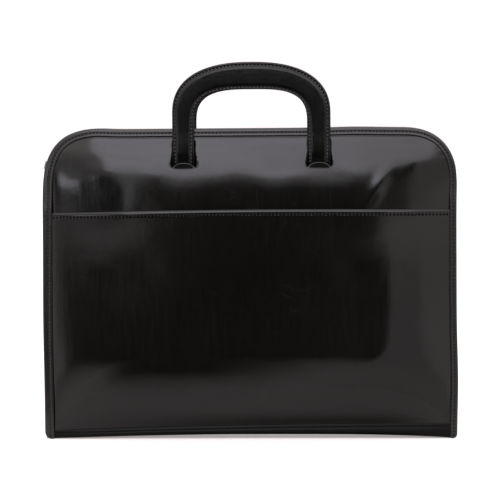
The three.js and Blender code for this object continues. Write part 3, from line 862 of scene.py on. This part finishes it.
def pocketPiece():
    form = pocketForm
    across = spaced(-1.0, 1.0, *form["columnSteps"], form["columnEnds"])
    drop = np.concatenate([form["mouthRows"]] + [np.arange(*run) for run in form["lowerRows"]])
    share = 1 - drop / form["rowSpan"]
    share = np.append(share[share > form["leastRow"]], 0.0)
    gridU, gridV = np.meshgrid(across, share)
    gridX = gridU * caseForm["halfWidth"]
    foot = caseForm["foot"] + baseLift(gridX)
    top = mouthAt(gridX)
    gridZ = foot + (top - foot) * gridV
    face = pocketFace(gridX, gridZ)
    outer = face + hemRelief(gridX, gridZ)
    inner = face - form["thick"]
    fall = np.clip(top - gridZ, 0, None)
    half = np.sqrt(1 - (1 - np.clip(fall / form["roll"], 0, 1)) ** 2)      # the mouth is rolled over
    middle = (outer + inner) / 2
    outer = middle + (outer - middle) * half
    inner = middle + (inner - middle) * half
    points, faces = sheetSolid(gridX, gridZ, outer, inner, -1)
    piece = makePiece("frontPocket", points, faces, panelFinish, 60)
    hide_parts("front_pocket")


pocketPiece()
print("slip pocket made")


baseForm = {
    "left": -189.0,
    "right": 190.5,
    "front": 18.2,
    "lean": 1.1,            # its foot stands out under the seam, less near the ends
    "leanEnds": (3, 30),
    "back": 16.5,
    "thick": 1.4,
    "edge": 3.2,
    "stitch": 3.2,
    "groove": 0.3,
    "stations": 150,
}


def baseLean(x):
    ends = np.minimum(x - baseForm["left"], baseForm["right"] - x)
    return baseForm["lean"] * ramp(*baseForm["leanEnds"], ends)


bindingForm = {
    "inside": 10.2,         # depth of the leaf inside the zip channel
    "leaf": 15.1,           # depth of the outer leaf, over the panel alone
    "pocketLeaf": 16.8,     # and over panel and pocket
    "pocketStep": (216.6, 244.0),
    "baseStep": (10.0, 75.0),
    "thick": 1.0,
    "width": 6.2,
    "insideWidth": 4.3,
    "fold": 1.3,
    "stitch": 3.0,
    "groove": 0.16,
    "slope": 0.19,          # the leaf leans with the bowed panel
    "slopeFrom": 0.9,
    "faceDrop": 0.85,
    "spreadLeft": 1.5,      # sewn by hand: wider down the left side, narrower down the right
    "spreadRight": -0.9,
    "rowSpread": 0.8,
    "footRows": [0.08, 0.25, 0.5, 0.85, 1.3, 1.9],
    "earInside": 1.6,       # the ends are rounded into small ears
    "earLeft": 6.5,
    "earRight": 4.2,
    "earThin": (2.0, 0.12),
}


def arcPoints(centre, radius, start, stop, count):
    angles = np.radians(np.linspace(start, stop, count))
    return [(centre[0] + radius * math.cos(a), centre[1] + radius * math.sin(a)) for a in angles]


def bindingSpread(outX):
    return bindingForm["spreadLeft"] * np.maximum(0, -outX) + bindingForm["spreadRight"] * np.maximum(0, outX)


def leafFace(face, out):
    return face - bindingForm["faceDrop"] - bindingForm["slope"] * (out + bindingForm["slopeFrom"])


def bindingSection(leaf, spread):
    form = bindingForm
    face = leaf + form["thick"]
    fold, width, inside = form["fold"], form["width"] + spread, form["inside"]
    row = form["stitch"] + spread * form["rowSpread"]
    groove = form["groove"]
    loop = [(-form["insideWidth"], inside + 0.3), (-form["insideWidth"] + 0.25, inside), (-2.2, inside)]
    loop += arcPoints((fold - 1.5, inside + 1.5), 1.5, -90, 0, 6)
    loop += arcPoints((fold - 1.7, face - 2.5), 1.7, 0, 80, 8)
    # height of the leaf's face above the plain leaf, from the fold to its inner edge
    relief = [(-row * 0.45, 0.06), (-row + 1.15, 0.05), (-row + 0.95, 0.0), (-row, -groove),
              (-row - 0.95, 0.0), (-row - 1.15, 0.06), (-width + 1.1, 0.06), (-width + 0.5, 0.0),
              (-width + 0.2, -0.1), (-width + 0.05, -0.3)]
    loop += [(out, leafFace(face, out) + high) for out, high in relief]
    loop += [(-width, leaf + 0.3), (-width, leaf)]
    loop += [(-0.3, leaf), (0.2, leaf - 0.3), (0.3, leaf - 0.8), (0.3, inside + 1.7), (0.2, inside + 1.2),
             (-0.3, inside + 1.0), (-form["insideWidth"], inside + 1.0)]
    return np.array(loop)


def leafAt(z, side):
    # the leaf steps out over the pocket, and again over the base strip's ends
    form = bindingForm
    leaf = form["leaf"] + baseForm["thick"] * (1 - ramp(*form["baseStep"], z))
    if side > 0:
        return leaf
    step = form["pocketLeaf"] - form["leaf"]
    return leaf + step * (1 - ramp(*form["pocketStep"], z))


def earInset(z, radius):
    return radius - np.sqrt(radius ** 2 - np.clip(radius - z, 0, radius) ** 2)


def bindingPiece(name, node, side):
    form = bindingForm
    line = evenly(rimLine(0.0), 2.6)
    foot = np.array(form["footRows"])
    left = np.column_stack([np.interp(foot, line[:40, 1], line[:40, 0]), foot])
    right = np.column_stack([np.interp(foot, line[-40:, 1][::-1], line[-40:, 0][::-1]), foot])
    line = np.vstack([line[:1], left, line[1:-1], right[::-1], line[-1:]])
    stations = rimStations(line)
    thinFrom, thinner = form["earThin"]
    sections = []
    for x, z, outX, _ in stations:
        section = bindingSection(float(leafAt(z, side)), float(bindingSpread(outX)))
        low, high = section[:, 0].min(), section[:, 0].max()
        newLow = low + earInset(z, form["earInside"])
        newHigh = high - earInset(z, form["earRight" if x > 0 else "earLeft"])
        section[:, 0] = newLow + (section[:, 0] - low) / (high - low) * (newHigh - newLow)
        middle = (section[:, 1].min() + section[:, 1].max()) / 2
        section[:, 1] = middle + (section[:, 1] - middle) * (1 - thinner * earInset(z, thinFrom))
        sections.append(section)
    points, faces = sweepSolid(stations, np.array(sections), side)
    piece = makePiece(name, points, faces, edgeFinish, 50)
    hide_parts(node)


bindingPiece("bindingFront", "binding_front", -1)
bindingPiece("bindingBack", "binding_back", 1)
print("bindings made")


def basePiece():
    # each section goes down the front flange, along the base, up the back and home inside
    form = baseForm
    front, back, edge, thick = form["front"], form["back"], form["edge"], form["thick"]
    bend = edge - thick
    backTop = caseForm["baseTop"]
    outerTurn = np.linspace(0, math.pi / 2, 8)
    innerTurn = np.linspace(0, math.pi / 2, 5)
    places = np.linspace(form["left"], form["right"], form["stations"])
    points = []
    for x in places:
        lift = float(baseLift(x))
        frontTop = float(baseTopAt(x))
        row = frontTop - form["stitch"]
        low = front + float(baseLean(x))
        slant = (low - front) / (frontTop - lift - edge)
        loop = [(front - thick, frontTop), (front - 0.75, frontTop), (front - 0.3, frontTop - 0.1),
                (front - 0.05, frontTop - 0.35), (front + 0.05, frontTop - 0.8)]
        for drop, dent in ((-1.1, 0.05), (-0.55, -0.02), (0, -form["groove"]), (0.55, -0.02), (1.2, 0.06)):
            loop.append((front + slant * (form["stitch"] + drop) + dent, row - drop))
        loop += [(low - edge + edge * math.cos(a), lift + edge - edge * math.sin(a)) for a in outerTurn]
        loop += [(y, lift) for y in (10.0, 3.0, -4.0, -10.0)]
        loop += [(-back + edge - edge * math.sin(a), lift + edge - edge * math.cos(a)) for a in outerTurn]
        row = backTop - form["stitch"]
        loop += [(-back - 0.05, row - 1.0), (-back + 0.02, row - 0.5), (-back + form["groove"], row),
                 (-back + 0.02, row + 0.5), (-back - 0.04, row + 1.2), (-back, backTop - 0.8),
                 (-back + 0.3, backTop - 0.12), (-back + 0.7, backTop), (-back + thick, backTop)]
        loop += [(-back + edge - bend * math.cos(a), lift + edge - bend * math.sin(a)) for a in innerTurn]
        loop += [(-4.0, lift + thick), (4.0, lift + thick)]
        loop += [(front - edge + bend * math.sin(a), lift + edge - bend * math.cos(a)) for a in innerTurn]
        points += [(x, -depth, z) for depth, z in loop]
    faces = loopFaces(len(places), len(points) // len(places))
    piece = makePiece("baseStrip", points, faces, baseFinish, 50)
    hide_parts("base_strip")


basePiece()
print("base strip made")


channelForm = {
    "flangeIn": 11.5,
    "flangeOut": 12.7,
    "flangeBevel": 0.4,
    "flangeTurn": -4.3,     # where the flange turns into the web
    "sink": 5.2,
    "crown": 1.4,
    "gussetThick": 1.2,
    "gussetLevels": (0.3, 225.7),
    "gussetEnd": (-5.9, -6.3),
    "crease": (0.5, 1.6),   # pressed fold down the middle: depth, half width
    "slack": ((0.22, 19.0), (0.12, 7.3)),       # soft waves up the gusset: height, step
    "tapeThick": 1.0,
    "tapeEnd": (-5.8, -6.1),
    "cord": (0.35, 1.0, 0.7),       # corded edge beside the teeth: height, distance, half width
    "chainHalf": 3.2,
    "zipEnd": 226.0,
}


def webOut(depth):
    form = channelForm
    return -form["sink"] + form["crown"] * (1 - (depth / form["flangeIn"]) ** 2)


def gussetPiece(name, node, hand):
    form = channelForm
    near, far, turn = form["flangeIn"], form["flangeOut"], form["flangeTurn"]
    end, bevelled = form["gussetEnd"]
    bevel = form["flangeBevel"]
    level = np.linspace(*form["gussetLevels"], 90)
    across = np.linspace(-near + 0.5, near - 0.5, 25)
    deep, creaseHalf = form["crease"]
    crease = -deep * np.exp(-(across / creaseHalf) ** 2)
    (large, largeStep), (small, smallStep) = form["slack"]
    points = []
    for z in level:
        slack = large * math.sin(z / largeStep + hand) + small * math.sin(z / smallStep)
        outer = webOut(across) + crease + slack * (1 - (across / near) ** 2)
        loop = [(0.0, -far), (0.0, -near), (turn, -near)]
        loop += list(zip(outer, across))
        loop += [(turn, near), (0.0, near), (0.0, far), (end, far), (bevelled, far - bevel)]
        loop += list(zip(outer[::-1] - form["gussetThick"], across[::-1]))
        loop += [(bevelled, -far + bevel), (end, -far)]
        points += [(hand * (caseForm["halfWidth"] + out), depth, z) for out, depth in loop]
    faces = loopFaces(len(level), len(points) // len(level))
    piece = makePiece(name, points, faces, edgeFinish, 50)
    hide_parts(node)


gussetPiece("gussetLeft", "side_gusset_left", -1)
gussetPiece("gussetRight", "side_gusset_right", 1)
print("side gussets made")


zipLine = rimLine(channelForm["zipEnd"])


def tapePiece(name, node, side):
    form = channelForm
    near, far, turn = form["flangeIn"], form["flangeOut"], form["flangeTurn"]
    end, bevelled = form["tapeEnd"]
    stations = rimStations(evenly(zipLine, 2.4))
    across = np.linspace(near - 0.6, form["chainHalf"], 14)
    outer = webOut(across)
    high, away, cordHalf = form["cord"]
    cord = high * np.exp(-((across - form["chainHalf"] - away) / cordHalf) ** 2)
    loop = [(0.0, far), (0.0, near), (turn, near)]
    loop += list(zip(outer + cord, across))
    loop += list(zip(outer[::-1] - form["tapeThick"], across[::-1]))
    loop += [(bevelled, far - form["flangeBevel"]), (end, far)]
    sections = np.repeat(np.array(loop)[None], len(stations), axis=0)
    points, faces = sweepSolid(stations, sections, side)
    piece = makePiece(name, points, faces, clothFinish, 50)
    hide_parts(node)


tapePiece("zipTapeFront", "zip_tape_front", -1)
tapePiece("zipTapeBack", "zip_tape_back", 1)


teethForm = {
    "pitch": 1.5,
    "length": 1.2,
    "reach": 3.4,
    "height": 2.2,
    "top": -3.0,
    "edge": 2.9,
    "bevel": 0.28,
}


def toothTemplate(size, bevel):
    work = bmesh.new()
    bmesh.ops.create_cube(work, size=1.0)
    bmesh.ops.scale(work, vec=size, verts=work.verts)
    bmesh.ops.bevel(work, geom=work.edges, offset=bevel, segments=1, affect="EDGES", profile=0.5)
    work.verts.ensure_lookup_table()
    points = np.array([tuple(v.co) for v in work.verts])
    faces = [tuple(v.index for v in f.verts) for f in work.faces]
    work.free()
    return points, faces


def teethPiece():
    form = teethForm
    shape, shapeFaces = toothTemplate((form["length"], form["reach"], form["height"]), form["bevel"])
    along = shape[:, 0]
    out = form["top"] - form["height"] / 2 + shape[:, 2]
    points, faces = [], []
    for k, (x, z, outX, outZ) in enumerate(rimStations(evenly(zipLine, form["pitch"]))[1:-1]):
        side = 1 if k % 2 else -1       # teeth of both tapes in turn
        depth = side * (form["edge"] - form["reach"] / 2) + shape[:, 1]
        faces += shifted(shapeFaces, len(points))
        points += list(zip(x + outX * out + outZ * along, depth, z + outZ * out - outX * along))
    piece = makePiece("zipTeeth", points, faces, metalFinish, 30)
    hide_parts("zip_chain")


teethPiece()


castForm = {
    "weld": 0.00002,        # metres
    "ease": 0.00028,
    "easeSteps": 2,
    "easeFrom": 35,         # degrees
}
for nodeName in ("zip_slider", "zip_puller"):
    castPart = frame["nodes"][nodeName]
    castPart.data.materials.clear()
    castPart.data.materials.append(metalFinish.material)
    joined = castPart.modifiers.new("joined", "WELD")
    joined.merge_threshold = castForm["weld"]
    eased = castPart.modifiers.new("eased", "BEVEL")
    eased.width = castForm["ease"]
    eased.segments = castForm["easeSteps"]
    eased.limit_method = "ANGLE"
    eased.angle_limit = math.radians(castForm["easeFrom"])
print("zip made")


handleForm = {
    "middle": 2.9,          # right of the case's middle
    "innerMiddle": 2.3,
    "outer": (74.3, 49.1, 306.9, 2.42),     # half width, rise, spring, power
    "inner": (53.2, 34.0, 296.5, 3.15),
    "foot": 247.0,
    "stitch": 2.7,          # rows of stitches from the edges, on the legs
    "crownOuter": 0.3,      # and how much further in or out at the crown
    "crownInner": -0.9,
    "crownLevels": (305, 345),
    "legOut": (0.3, 276, 292),      # a leg lies over the bowed panel
    "legIn": (4.2, 250, 272),       # then goes in through its slit
    "threadDepths": ((19.3, 1), (17.78, -1)),
    "stations": 230,
    # outline of the section: its sides and middles, then before and after the row, from the row
    "side": (0.2, 18.55),
    "frontMiddle": 20.85,
    "frontEdge": [(0.0, 19.0), (0.22, 19.35), (0.6, 19.56)],
    "frontRow": [(-0.65, 19.58), (-0.45, 19.5), (0.0, 19.22), (0.45, 19.5), (0.75, 19.85), (1.05, 20.1),
                 (1.4, 20.31), (1.7, 20.45), (2.3, 20.64), (2.9, 20.77), (3.3, 20.81), (4.2, 20.83)],
    "backMiddle": 16.54,
    "backEdge": [(0.0, 18.1), (0.22, 17.75), (0.6, 17.54)],
    "backRow": [(-0.65, 17.52), (-0.45, 17.6), (0.0, 17.86), (0.45, 17.6), (0.75, 17.3), (1.05, 17.1),
                (1.4, 16.94), (1.7, 16.84), (2.3, 16.7), (2.9, 16.61), (3.3, 16.58), (4.2, 16.56)],
    "paintedBelow": 0.45,   # faces that look less than this to the front or back are edge
}


def archLine(halfWidth, rise, spring, power, foot):
    turn = np.linspace(math.pi, 0.0, 361)
    across = np.cos(turn)
    up = np.clip(np.sin(turn), 0, 1)
    arch = np.column_stack([halfWidth * np.sign(across) * np.abs(across) ** (2 / power),
                            spring + rise * up ** (2 / power)])
    leg = np.linspace(foot, spring, 30)[:-1]
    left = np.column_stack([np.full(len(leg), -halfWidth), leg])
    return np.vstack([left, arch, (left * (-1, 1))[::-1]])


def handleEdges():
    form = handleForm
    outer = evenly(archLine(*form["outer"], form["foot"]), count=form["stations"])
    inner = evenly(archLine(*form["inner"], form["foot"]), count=form["stations"])
    return outer + (form["middle"], 0), inner + (form["innerMiddle"], 0)


def legShift(z):
    out, outLow, outHigh = handleForm["legOut"]
    sunk, inLow, inHigh = handleForm["legIn"]
    return out * (1 - ramp(outLow, outHigh, z)) - sunk * (1 - ramp(inLow, inHigh, z))


def rowInset(z, key):
    return handleForm["stitch"] + handleForm[key] * ramp(*handleForm["crownLevels"], z)


def handleHalf(face, inset):
    # one half of the section, from an edge to the middle
    return handleForm[face + "Edge"] + [(inset + out, depth) for out, depth in handleForm[face + "Row"]]


def handlePiece(name, node, side):
    form = handleForm
    outer, inner = handleEdges()
    sideOut, sideDepth = form["side"]
    points = []
    for a, b in zip(outer, inner):
        width = np.linalg.norm(b - a)
        halves = {}
        for face in ("front", "back"):
            first = handleHalf(face, rowInset(a[1], "crownOuter"))
            last = handleHalf(face, rowInset(a[1], "crownInner"))
            halves[face] = [(e / width, d) for e, d in first], [(1 - e / width, d) for e, d in last]
        first, last = halves["front"]
        loop = first + [(0.5, form["frontMiddle"])] + last[::-1] + [(1 - sideOut / width, sideDepth)]
        first, last = halves["back"]
        loop += last + [(0.5, form["backMiddle"])] + first[::-1] + [(sideOut / width, sideDepth)]
        for share, depth in loop:
            spot = a + (b - a) * share
            points.append((spot[0], side * (depth + legShift(spot[1])), spot[1]))
    count = len(points) // len(outer)
    faces = loopFaces(len(outer), count)
    half = len(first)
    columns = [4, 5, 2 * half - 5, 2 * half - 6]        # either side of each row
    columns += [c + 2 * half + 2 for c in columns]
    # the faces either side of each row take the painted groove shade
    handleGrooveShade = shadedGrooveLoops(len(outer), count, columns)
    piece = makePiece(name, points, faces, strapFinish, 55, handleGrooveShade)
    piece.data.materials.append(paintFinish.material)
    for face in piece.data.polygons:
        if abs(face.normal.y) < form["paintedBelow"] and face.material_index == 0:
            face.material_index = 2
    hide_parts(node)


handlePiece("handleFront", "handle_front", -1)
handlePiece("handleBack", "handle_back", 1)
print("handles made")


stitchForm = {
    # share: how much of the pitch is thread; start: where in the pitch its middle comes
    "edge": {"pitch": 3.42, "share": 0.64, "start": 0.5, "halfWidth": 0.80, "halfHeight": 0.26},
    "hem": {"pitch": 3.42, "share": 0.62, "start": 0.5, "halfWidth": 1.1, "halfHeight": 0.26},
    "pucker": {"pitch": 3.42, "share": 0.34, "start": 0.0, "halfWidth": 0.62, "halfHeight": 0.34},
    "handle": {"pitch": 3.5, "share": 0.50, "start": 0.5, "halfWidth": 0.56, "halfHeight": 0.32},
    # along one stitch: place, height and size
    "profile": [(-0.5, -0.30, 0.5), (-0.40, 0.02, 0.85), (-0.18, 0.14, 1.0), (0.18, 0.14, 1.0),
                (0.40, 0.02, 0.85), (0.5, -0.30, 0.5)],
    "probe": 0.6,           # the run is read this far before and after
    "slantSpread": 0.03,
    "lengthSpread": 0.025,
    "rowEnds": (-186.0, 188.0),
}


def pointAt(at, gone, line):
    return np.array([np.interp(at, gone, line[:, i]) for i in range(3)])


def stitchPiece(name, rows, kind, finish):
    # rows: list of (line of points, way out for each point)
    form = stitchForm[kind]
    profile, probe = stitchForm["profile"], stitchForm["probe"]
    ring = np.radians(np.arange(0, 360, 60))
    points, faces = [], []
    for line, ways in rows:
        gone = lengthAlong(line)
        count = max(2, int(round(gone[-1] / form["pitch"])))
        real = gone[-1] / count
        for k in range(count):
            at = (k + form["start"]) * real
            spot = pointAt(at, gone, line)
            run = pointAt(at + probe, gone, line) - pointAt(at - probe, gone, line)
            run /= np.linalg.norm(run)
            way = pointAt(at, gone, ways)
            way = way - run * way.dot(run)
            way /= np.linalg.norm(way)
            wide = np.cross(way, run)
            run = run + wide * dice.normal(0, stitchForm["slantSpread"])
            long = real * form["share"] * (1 + dice.normal(0, stitchForm["lengthSpread"]))
            faces += shifted(loopFaces(len(profile), len(ring)), len(points))
            for place, high, size in profile:
                middle = spot + run * place * long + way * high
                for angle in ring:
                    points.append(middle + wide * math.cos(angle) * form["halfWidth"] * size
                                  + way * math.sin(angle) * form["halfHeight"] * size)
    makePiece(name, points, faces, finish, 70)


def facing(line, way):
    return line, np.tile([0.0, way, 0.0], (len(line), 1))


def bindingRow(side):
    form = bindingForm
    x, z, outX, outZ = rimStations(evenly(rimLine(1.5), 2.0)).T
    out = -form["stitch"] - bindingSpread(outX) * form["rowSpread"]
    depth = leafFace(leafAt(z, side) + form["thick"] - form["groove"] * 0.6, out)
    return facing(np.column_stack([x + outX * out, side * depth, z + outZ * out]), side)


def baseRow(side):
    form = baseForm
    x = np.linspace(*stitchForm["rowEnds"], 220)
    top = baseTopAt(x) if side < 0 else caseForm["baseTop"] + 0 * x
    slant = baseLean(x) / (top - baseLift(x) - form["edge"]) if side < 0 else 0 * x
    depth = (form["front"] if side < 0 else form["back"]) + slant * form["stitch"] - form["groove"] * 0.8
    return facing(np.column_stack([x, side * depth, top - form["stitch"]]), side)


def hemRow():
    x = np.linspace(*stitchForm["rowEnds"], 320)
    z = mouthAt(x) - pocketForm["stitchDrop"]
    depth = pocketFace(x, z) + hemRelief(x, z) + 0.05
    return facing(np.column_stack([x, -depth, z]), -1.0)


def handleRows(side):
    outer, inner = handleEdges()
    across = inner - outer
    width = np.linalg.norm(across, axis=1)
    rows = []
    for depth, way in handleForm["threadDepths"]:
        for key in ("crownOuter", "crownInner"):
            share = rowInset(outer[:, 1], key) / width
            share = share if key == "crownOuter" else 1 - share
            x, z = (outer + across * share[:, None]).T
            rows.append(facing(np.column_stack([x, side * (depth + legShift(z)), z]), side * way))
    return rows


for place, rows, kind, thread, leather, slotName in (
        ("BindingFront", [bindingRow(-1)], "edge", bindingThread, edgeFinish, "edge_leather"),
        ("BindingBack", [bindingRow(1)], "edge", bindingThread, edgeFinish, "edge_leather"),
        ("Hem", [hemRow()], "hem", threadFinish, panelFinish, "panel_leather"),
        ("Base", [baseRow(-1), baseRow(1)], "edge", threadFinish, baseFinish, "edge_leather")):
    stitchPiece("stitches" + place, rows, kind, thread)
    stitchPiece("puckers" + place, rows, "pucker", leather)
stitchPiece("stitchesHandleFront", handleRows(-1), "handle", handleThread)
stitchPiece("stitchesHandleBack", handleRows(1), "handle", handleThread)
print("stitches sewn")


shot = {
    "azimuth": 2.5,
    "elevation": 3.5,
    "roll": -0.436,
    "distance": 2.2245,
    "aim": (0.0002, 0.0, 0.17796),
    "lens": 168.47,
    "sensor": 36.0,
    "farthest": 50.0,
}


def makeCamera():
    a, e, r = (math.radians(shot[key]) for key in ("azimuth", "elevation", "roll"))
    back = np.array([math.sin(a) * math.cos(e), -math.cos(a) * math.cos(e), math.sin(e)])
    right = np.cross(-back, (0, 0, 1))
    right /= np.linalg.norm(right)
    up = np.cross(back, right)
    turnedRight = math.cos(r) * right + math.sin(r) * up
    turnedUp = -math.sin(r) * right + math.cos(r) * up
    spot = np.array(shot["aim"]) + back * shot["distance"]
    data = bpy.data.cameras.new("shot")
    data.sensor_width = shot["sensor"]
    data.lens = shot["lens"]
    data.clip_end = shot["farthest"]
    camera = bpy.data.objects.new("shot", data)
    camera.matrix_world = Matrix([list(row) for row in np.vstack([
        np.column_stack([turnedRight, turnedUp, back, spot]), [0, 0, 0, 1]])])
    scene.collection.objects.link(camera)
    scene.camera = camera


makeCamera()


def upright(y, left, right):
    # a standing card; left and right: x, lower and upper end
    return [(left[0], y, left[1]), (right[0], y, right[1]), (right[0], y, right[2]), (left[0], y, left[2])]


def lying(z, far, near):
    # a card on the floor; far and near: y, left and right end
    return [(far[1], far[0], z), (far[2], far[0], z), (near[2], near[0], z), (near[1], near[0], z)]


studio = {
    "floor": [(-9, -9, 0), (9, -9, 0), (9, 9, 0), (-9, 9, 0)],
    "room": (1.08, 1.02, 1.01, 1),      # round about, and overhead
    "overhead": (2.7, 2.58, 2.55, 1),
    "roomRange": (0.08, 0.38),
    "top": {"spot": (0.0, 0.1, 2.3), "size": 1.3, "power": 6.0},
}
lamps = {
    "softbox": {
        "corners": [(-0.48, -1.83, 0.57), (1.1, -1.83, 0.57), (1.1, -1.41, 1.45), (-0.48, -1.41, 1.45)],
        "fades": [("X", -0.48, -0.38), ("X", 1.1, 0.75), ("X", 0.25, -0.15, 0.52), ("Z", 0.57, 0.62)],
        "colour": (1.0, 0.965, 1.07, 1),
        "strength": 6.9,
    },
    "side": {
        "corners": [(-1.3, -1.6, 0.2), (-0.62, -1.83, 0.28), (-0.62, -1.8, 0.4), (-1.3, -1.57, 0.4)],
        "fades": [("X", -1.3, -1.16), ("X", -0.62, -0.75), ("Z", 0.2, 0.26), ("Z", 0.4, 0.31)],
        "colour": (1.0, 0.965, 1.07, 1),
        "strength": 8.0,
    },
    "strip": {
        "corners": upright(-0.45, (-0.178, 0.2, 0.37), (-0.155, 0.2, 0.37)),
        "fades": [("Z", 0.2, 0.225), ("Z", 0.37, 0.33)],
        "colour": (1.0, 0.965, 0.97, 1),
        "strength": 2.3,
    },
}
# dark flags that only the gloss sees: corners, then where they thin out
flags = {
    "flagLeft": (upright(-2.7, (-2.6, 0.075, 0.46), (-0.36, 0.16, 0.46)),
                 [("X", -2.6, -2.25), ("Z", 0.46, 0.32)]),
    "flagMiddle": (upright(-2.69, (-0.85, 0.3, 0.58), (-0.36, 0.3, 0.58)),
                   [("X", -0.85, -0.6), ("Z", 0.58, 0.42)]),
    "flagSill": (upright(-2.69, (-2.6, 0.0, 0.005), (-0.36, 0.0, 0.045)),
                 [("X", -2.6, -2.25)]),
    "flagFront": (upright(-2.7, (-0.36, 0.0, 0.72), (0.84, 0.125, 0.72)),
                  [("X", 0.84, 0.2), ("Z", 0.72, 0.52)]),
    "flagKerb": (upright(-2.69, (-0.36, 0.0, 0.04), (0.78, 0.0, 0.04)),
                 [("X", 0.78, 0.6)]),
    "flagRight": (upright(-2.69, (0.22, 0.4, 0.78), (0.72, 0.4, 0.78)),
                  [("X", 0.22, 0.34), ("X", 0.72, 0.5), ("Z", 0.4, 0.5), ("Z", 0.78, 0.68)]),
    "flagFloor": (lying(0.002, (-2.7, -2.35, 0.78), (-0.1, -0.215, 0.06)),
                  [("Y", -0.1, -0.45)]),
    "flagToe": (lying(0.003, (-0.45, -0.23, 0.1), (-0.06, -0.23, 0.1)),
                [("X", -0.23, -0.12), ("X", 0.1, -0.06), ("Y", -0.06, -0.21), ("Y", -0.45, -0.35)]),
    "flagFoot": (lying(0.003, (-0.055, -0.195, 0.195), (-0.014, -0.195, 0.195)),
                 [("X", -0.195, 0.07), ("X", 0.21, 0.13), ("Y", -0.055, -0.025)]),
    "flagEdge": (lying(0.004, (-2.7, 0.78, 1.6), (-0.03, 0.0, 0.19)),      # thin all over, as the veil is
                 [("X", 3.0, 3.2, 0.33), ("X", 0.0, 0.16), ("Y", -0.1, -0.4, 0.45)]),
    "flagVeil": (lying(0.002, (-2.7, 0.78, 3.0), (-0.1, 0.06, 3.0)),
                 [("X", 3.0, 3.2, 0.16)]),
    "flagBack": (upright(2.7, (-2.6, 0.0, 0.75), (2.6, 0.0, 0.75)),
                 [("X", -2.6, -1.6), ("X", 2.6, 1.6), ("Z", 0.75, 0.5)]),
    "flagBackFloor": (lying(0.002, (0.1, -2.6, 2.6), (2.7, -2.6, 2.6)),
                      [("X", -2.6, -1.2), ("X", 2.6, 1.2), ("Y", 0.1, 0.55)]),
}


def makeCard(name, corners, finish):
    mesh = bpy.data.meshes.new(name)
    mesh.from_pydata(corners, [], [(0, 1, 2, 3)])
    mesh.materials.append(finish.material)
    card = bpy.data.objects.new(name, mesh)
    scene.collection.objects.link(card)
    return card


makeCard("floor", studio["floor"], studioPaper("studioPaper", paperLook))
for flagName, (corners, fades) in flags.items():
    flag = makeCard(flagName, corners, flagCloth(flagName, fades))
    flag.visible_camera = False
    flag.visible_diffuse = False
    flag.visible_shadow = False
for lampName, plan in lamps.items():
    cloth = lampCloth(lampName, plan["fades"], plan["colour"], plan["strength"])
    lamp = makeCard(lampName, plan["corners"], cloth)
    lamp.visible_camera = False
    lamp.visible_shadow = False
topData = bpy.data.lights.new("top", "AREA")
topData.size = studio["top"]["size"]
topData.energy = studio["top"]["power"]
topLamp = bpy.data.objects.new("top", topData)
topLamp.location = studio["top"]["spot"]
scene.collection.objects.link(topLamp)
room = Finish("studio", "worlds")
upward = room.node("ShaderNodeSeparateXYZ", {}, {0: room.node("ShaderNodeTexCoord", out="Generated")}, "Z")
glow = room.between(room.window(upward, *studio["roomRange"]), studio["room"], studio["overhead"])
lit = room.node("ShaderNodeBackground", {}, {"Color": glow, "Strength": 1.0})
room.node("ShaderNodeOutputWorld", {}, {"Surface": lit})
scene.world = room.material
scene.view_settings.view_transform = "Standard"
print("camera, floor and lights set")
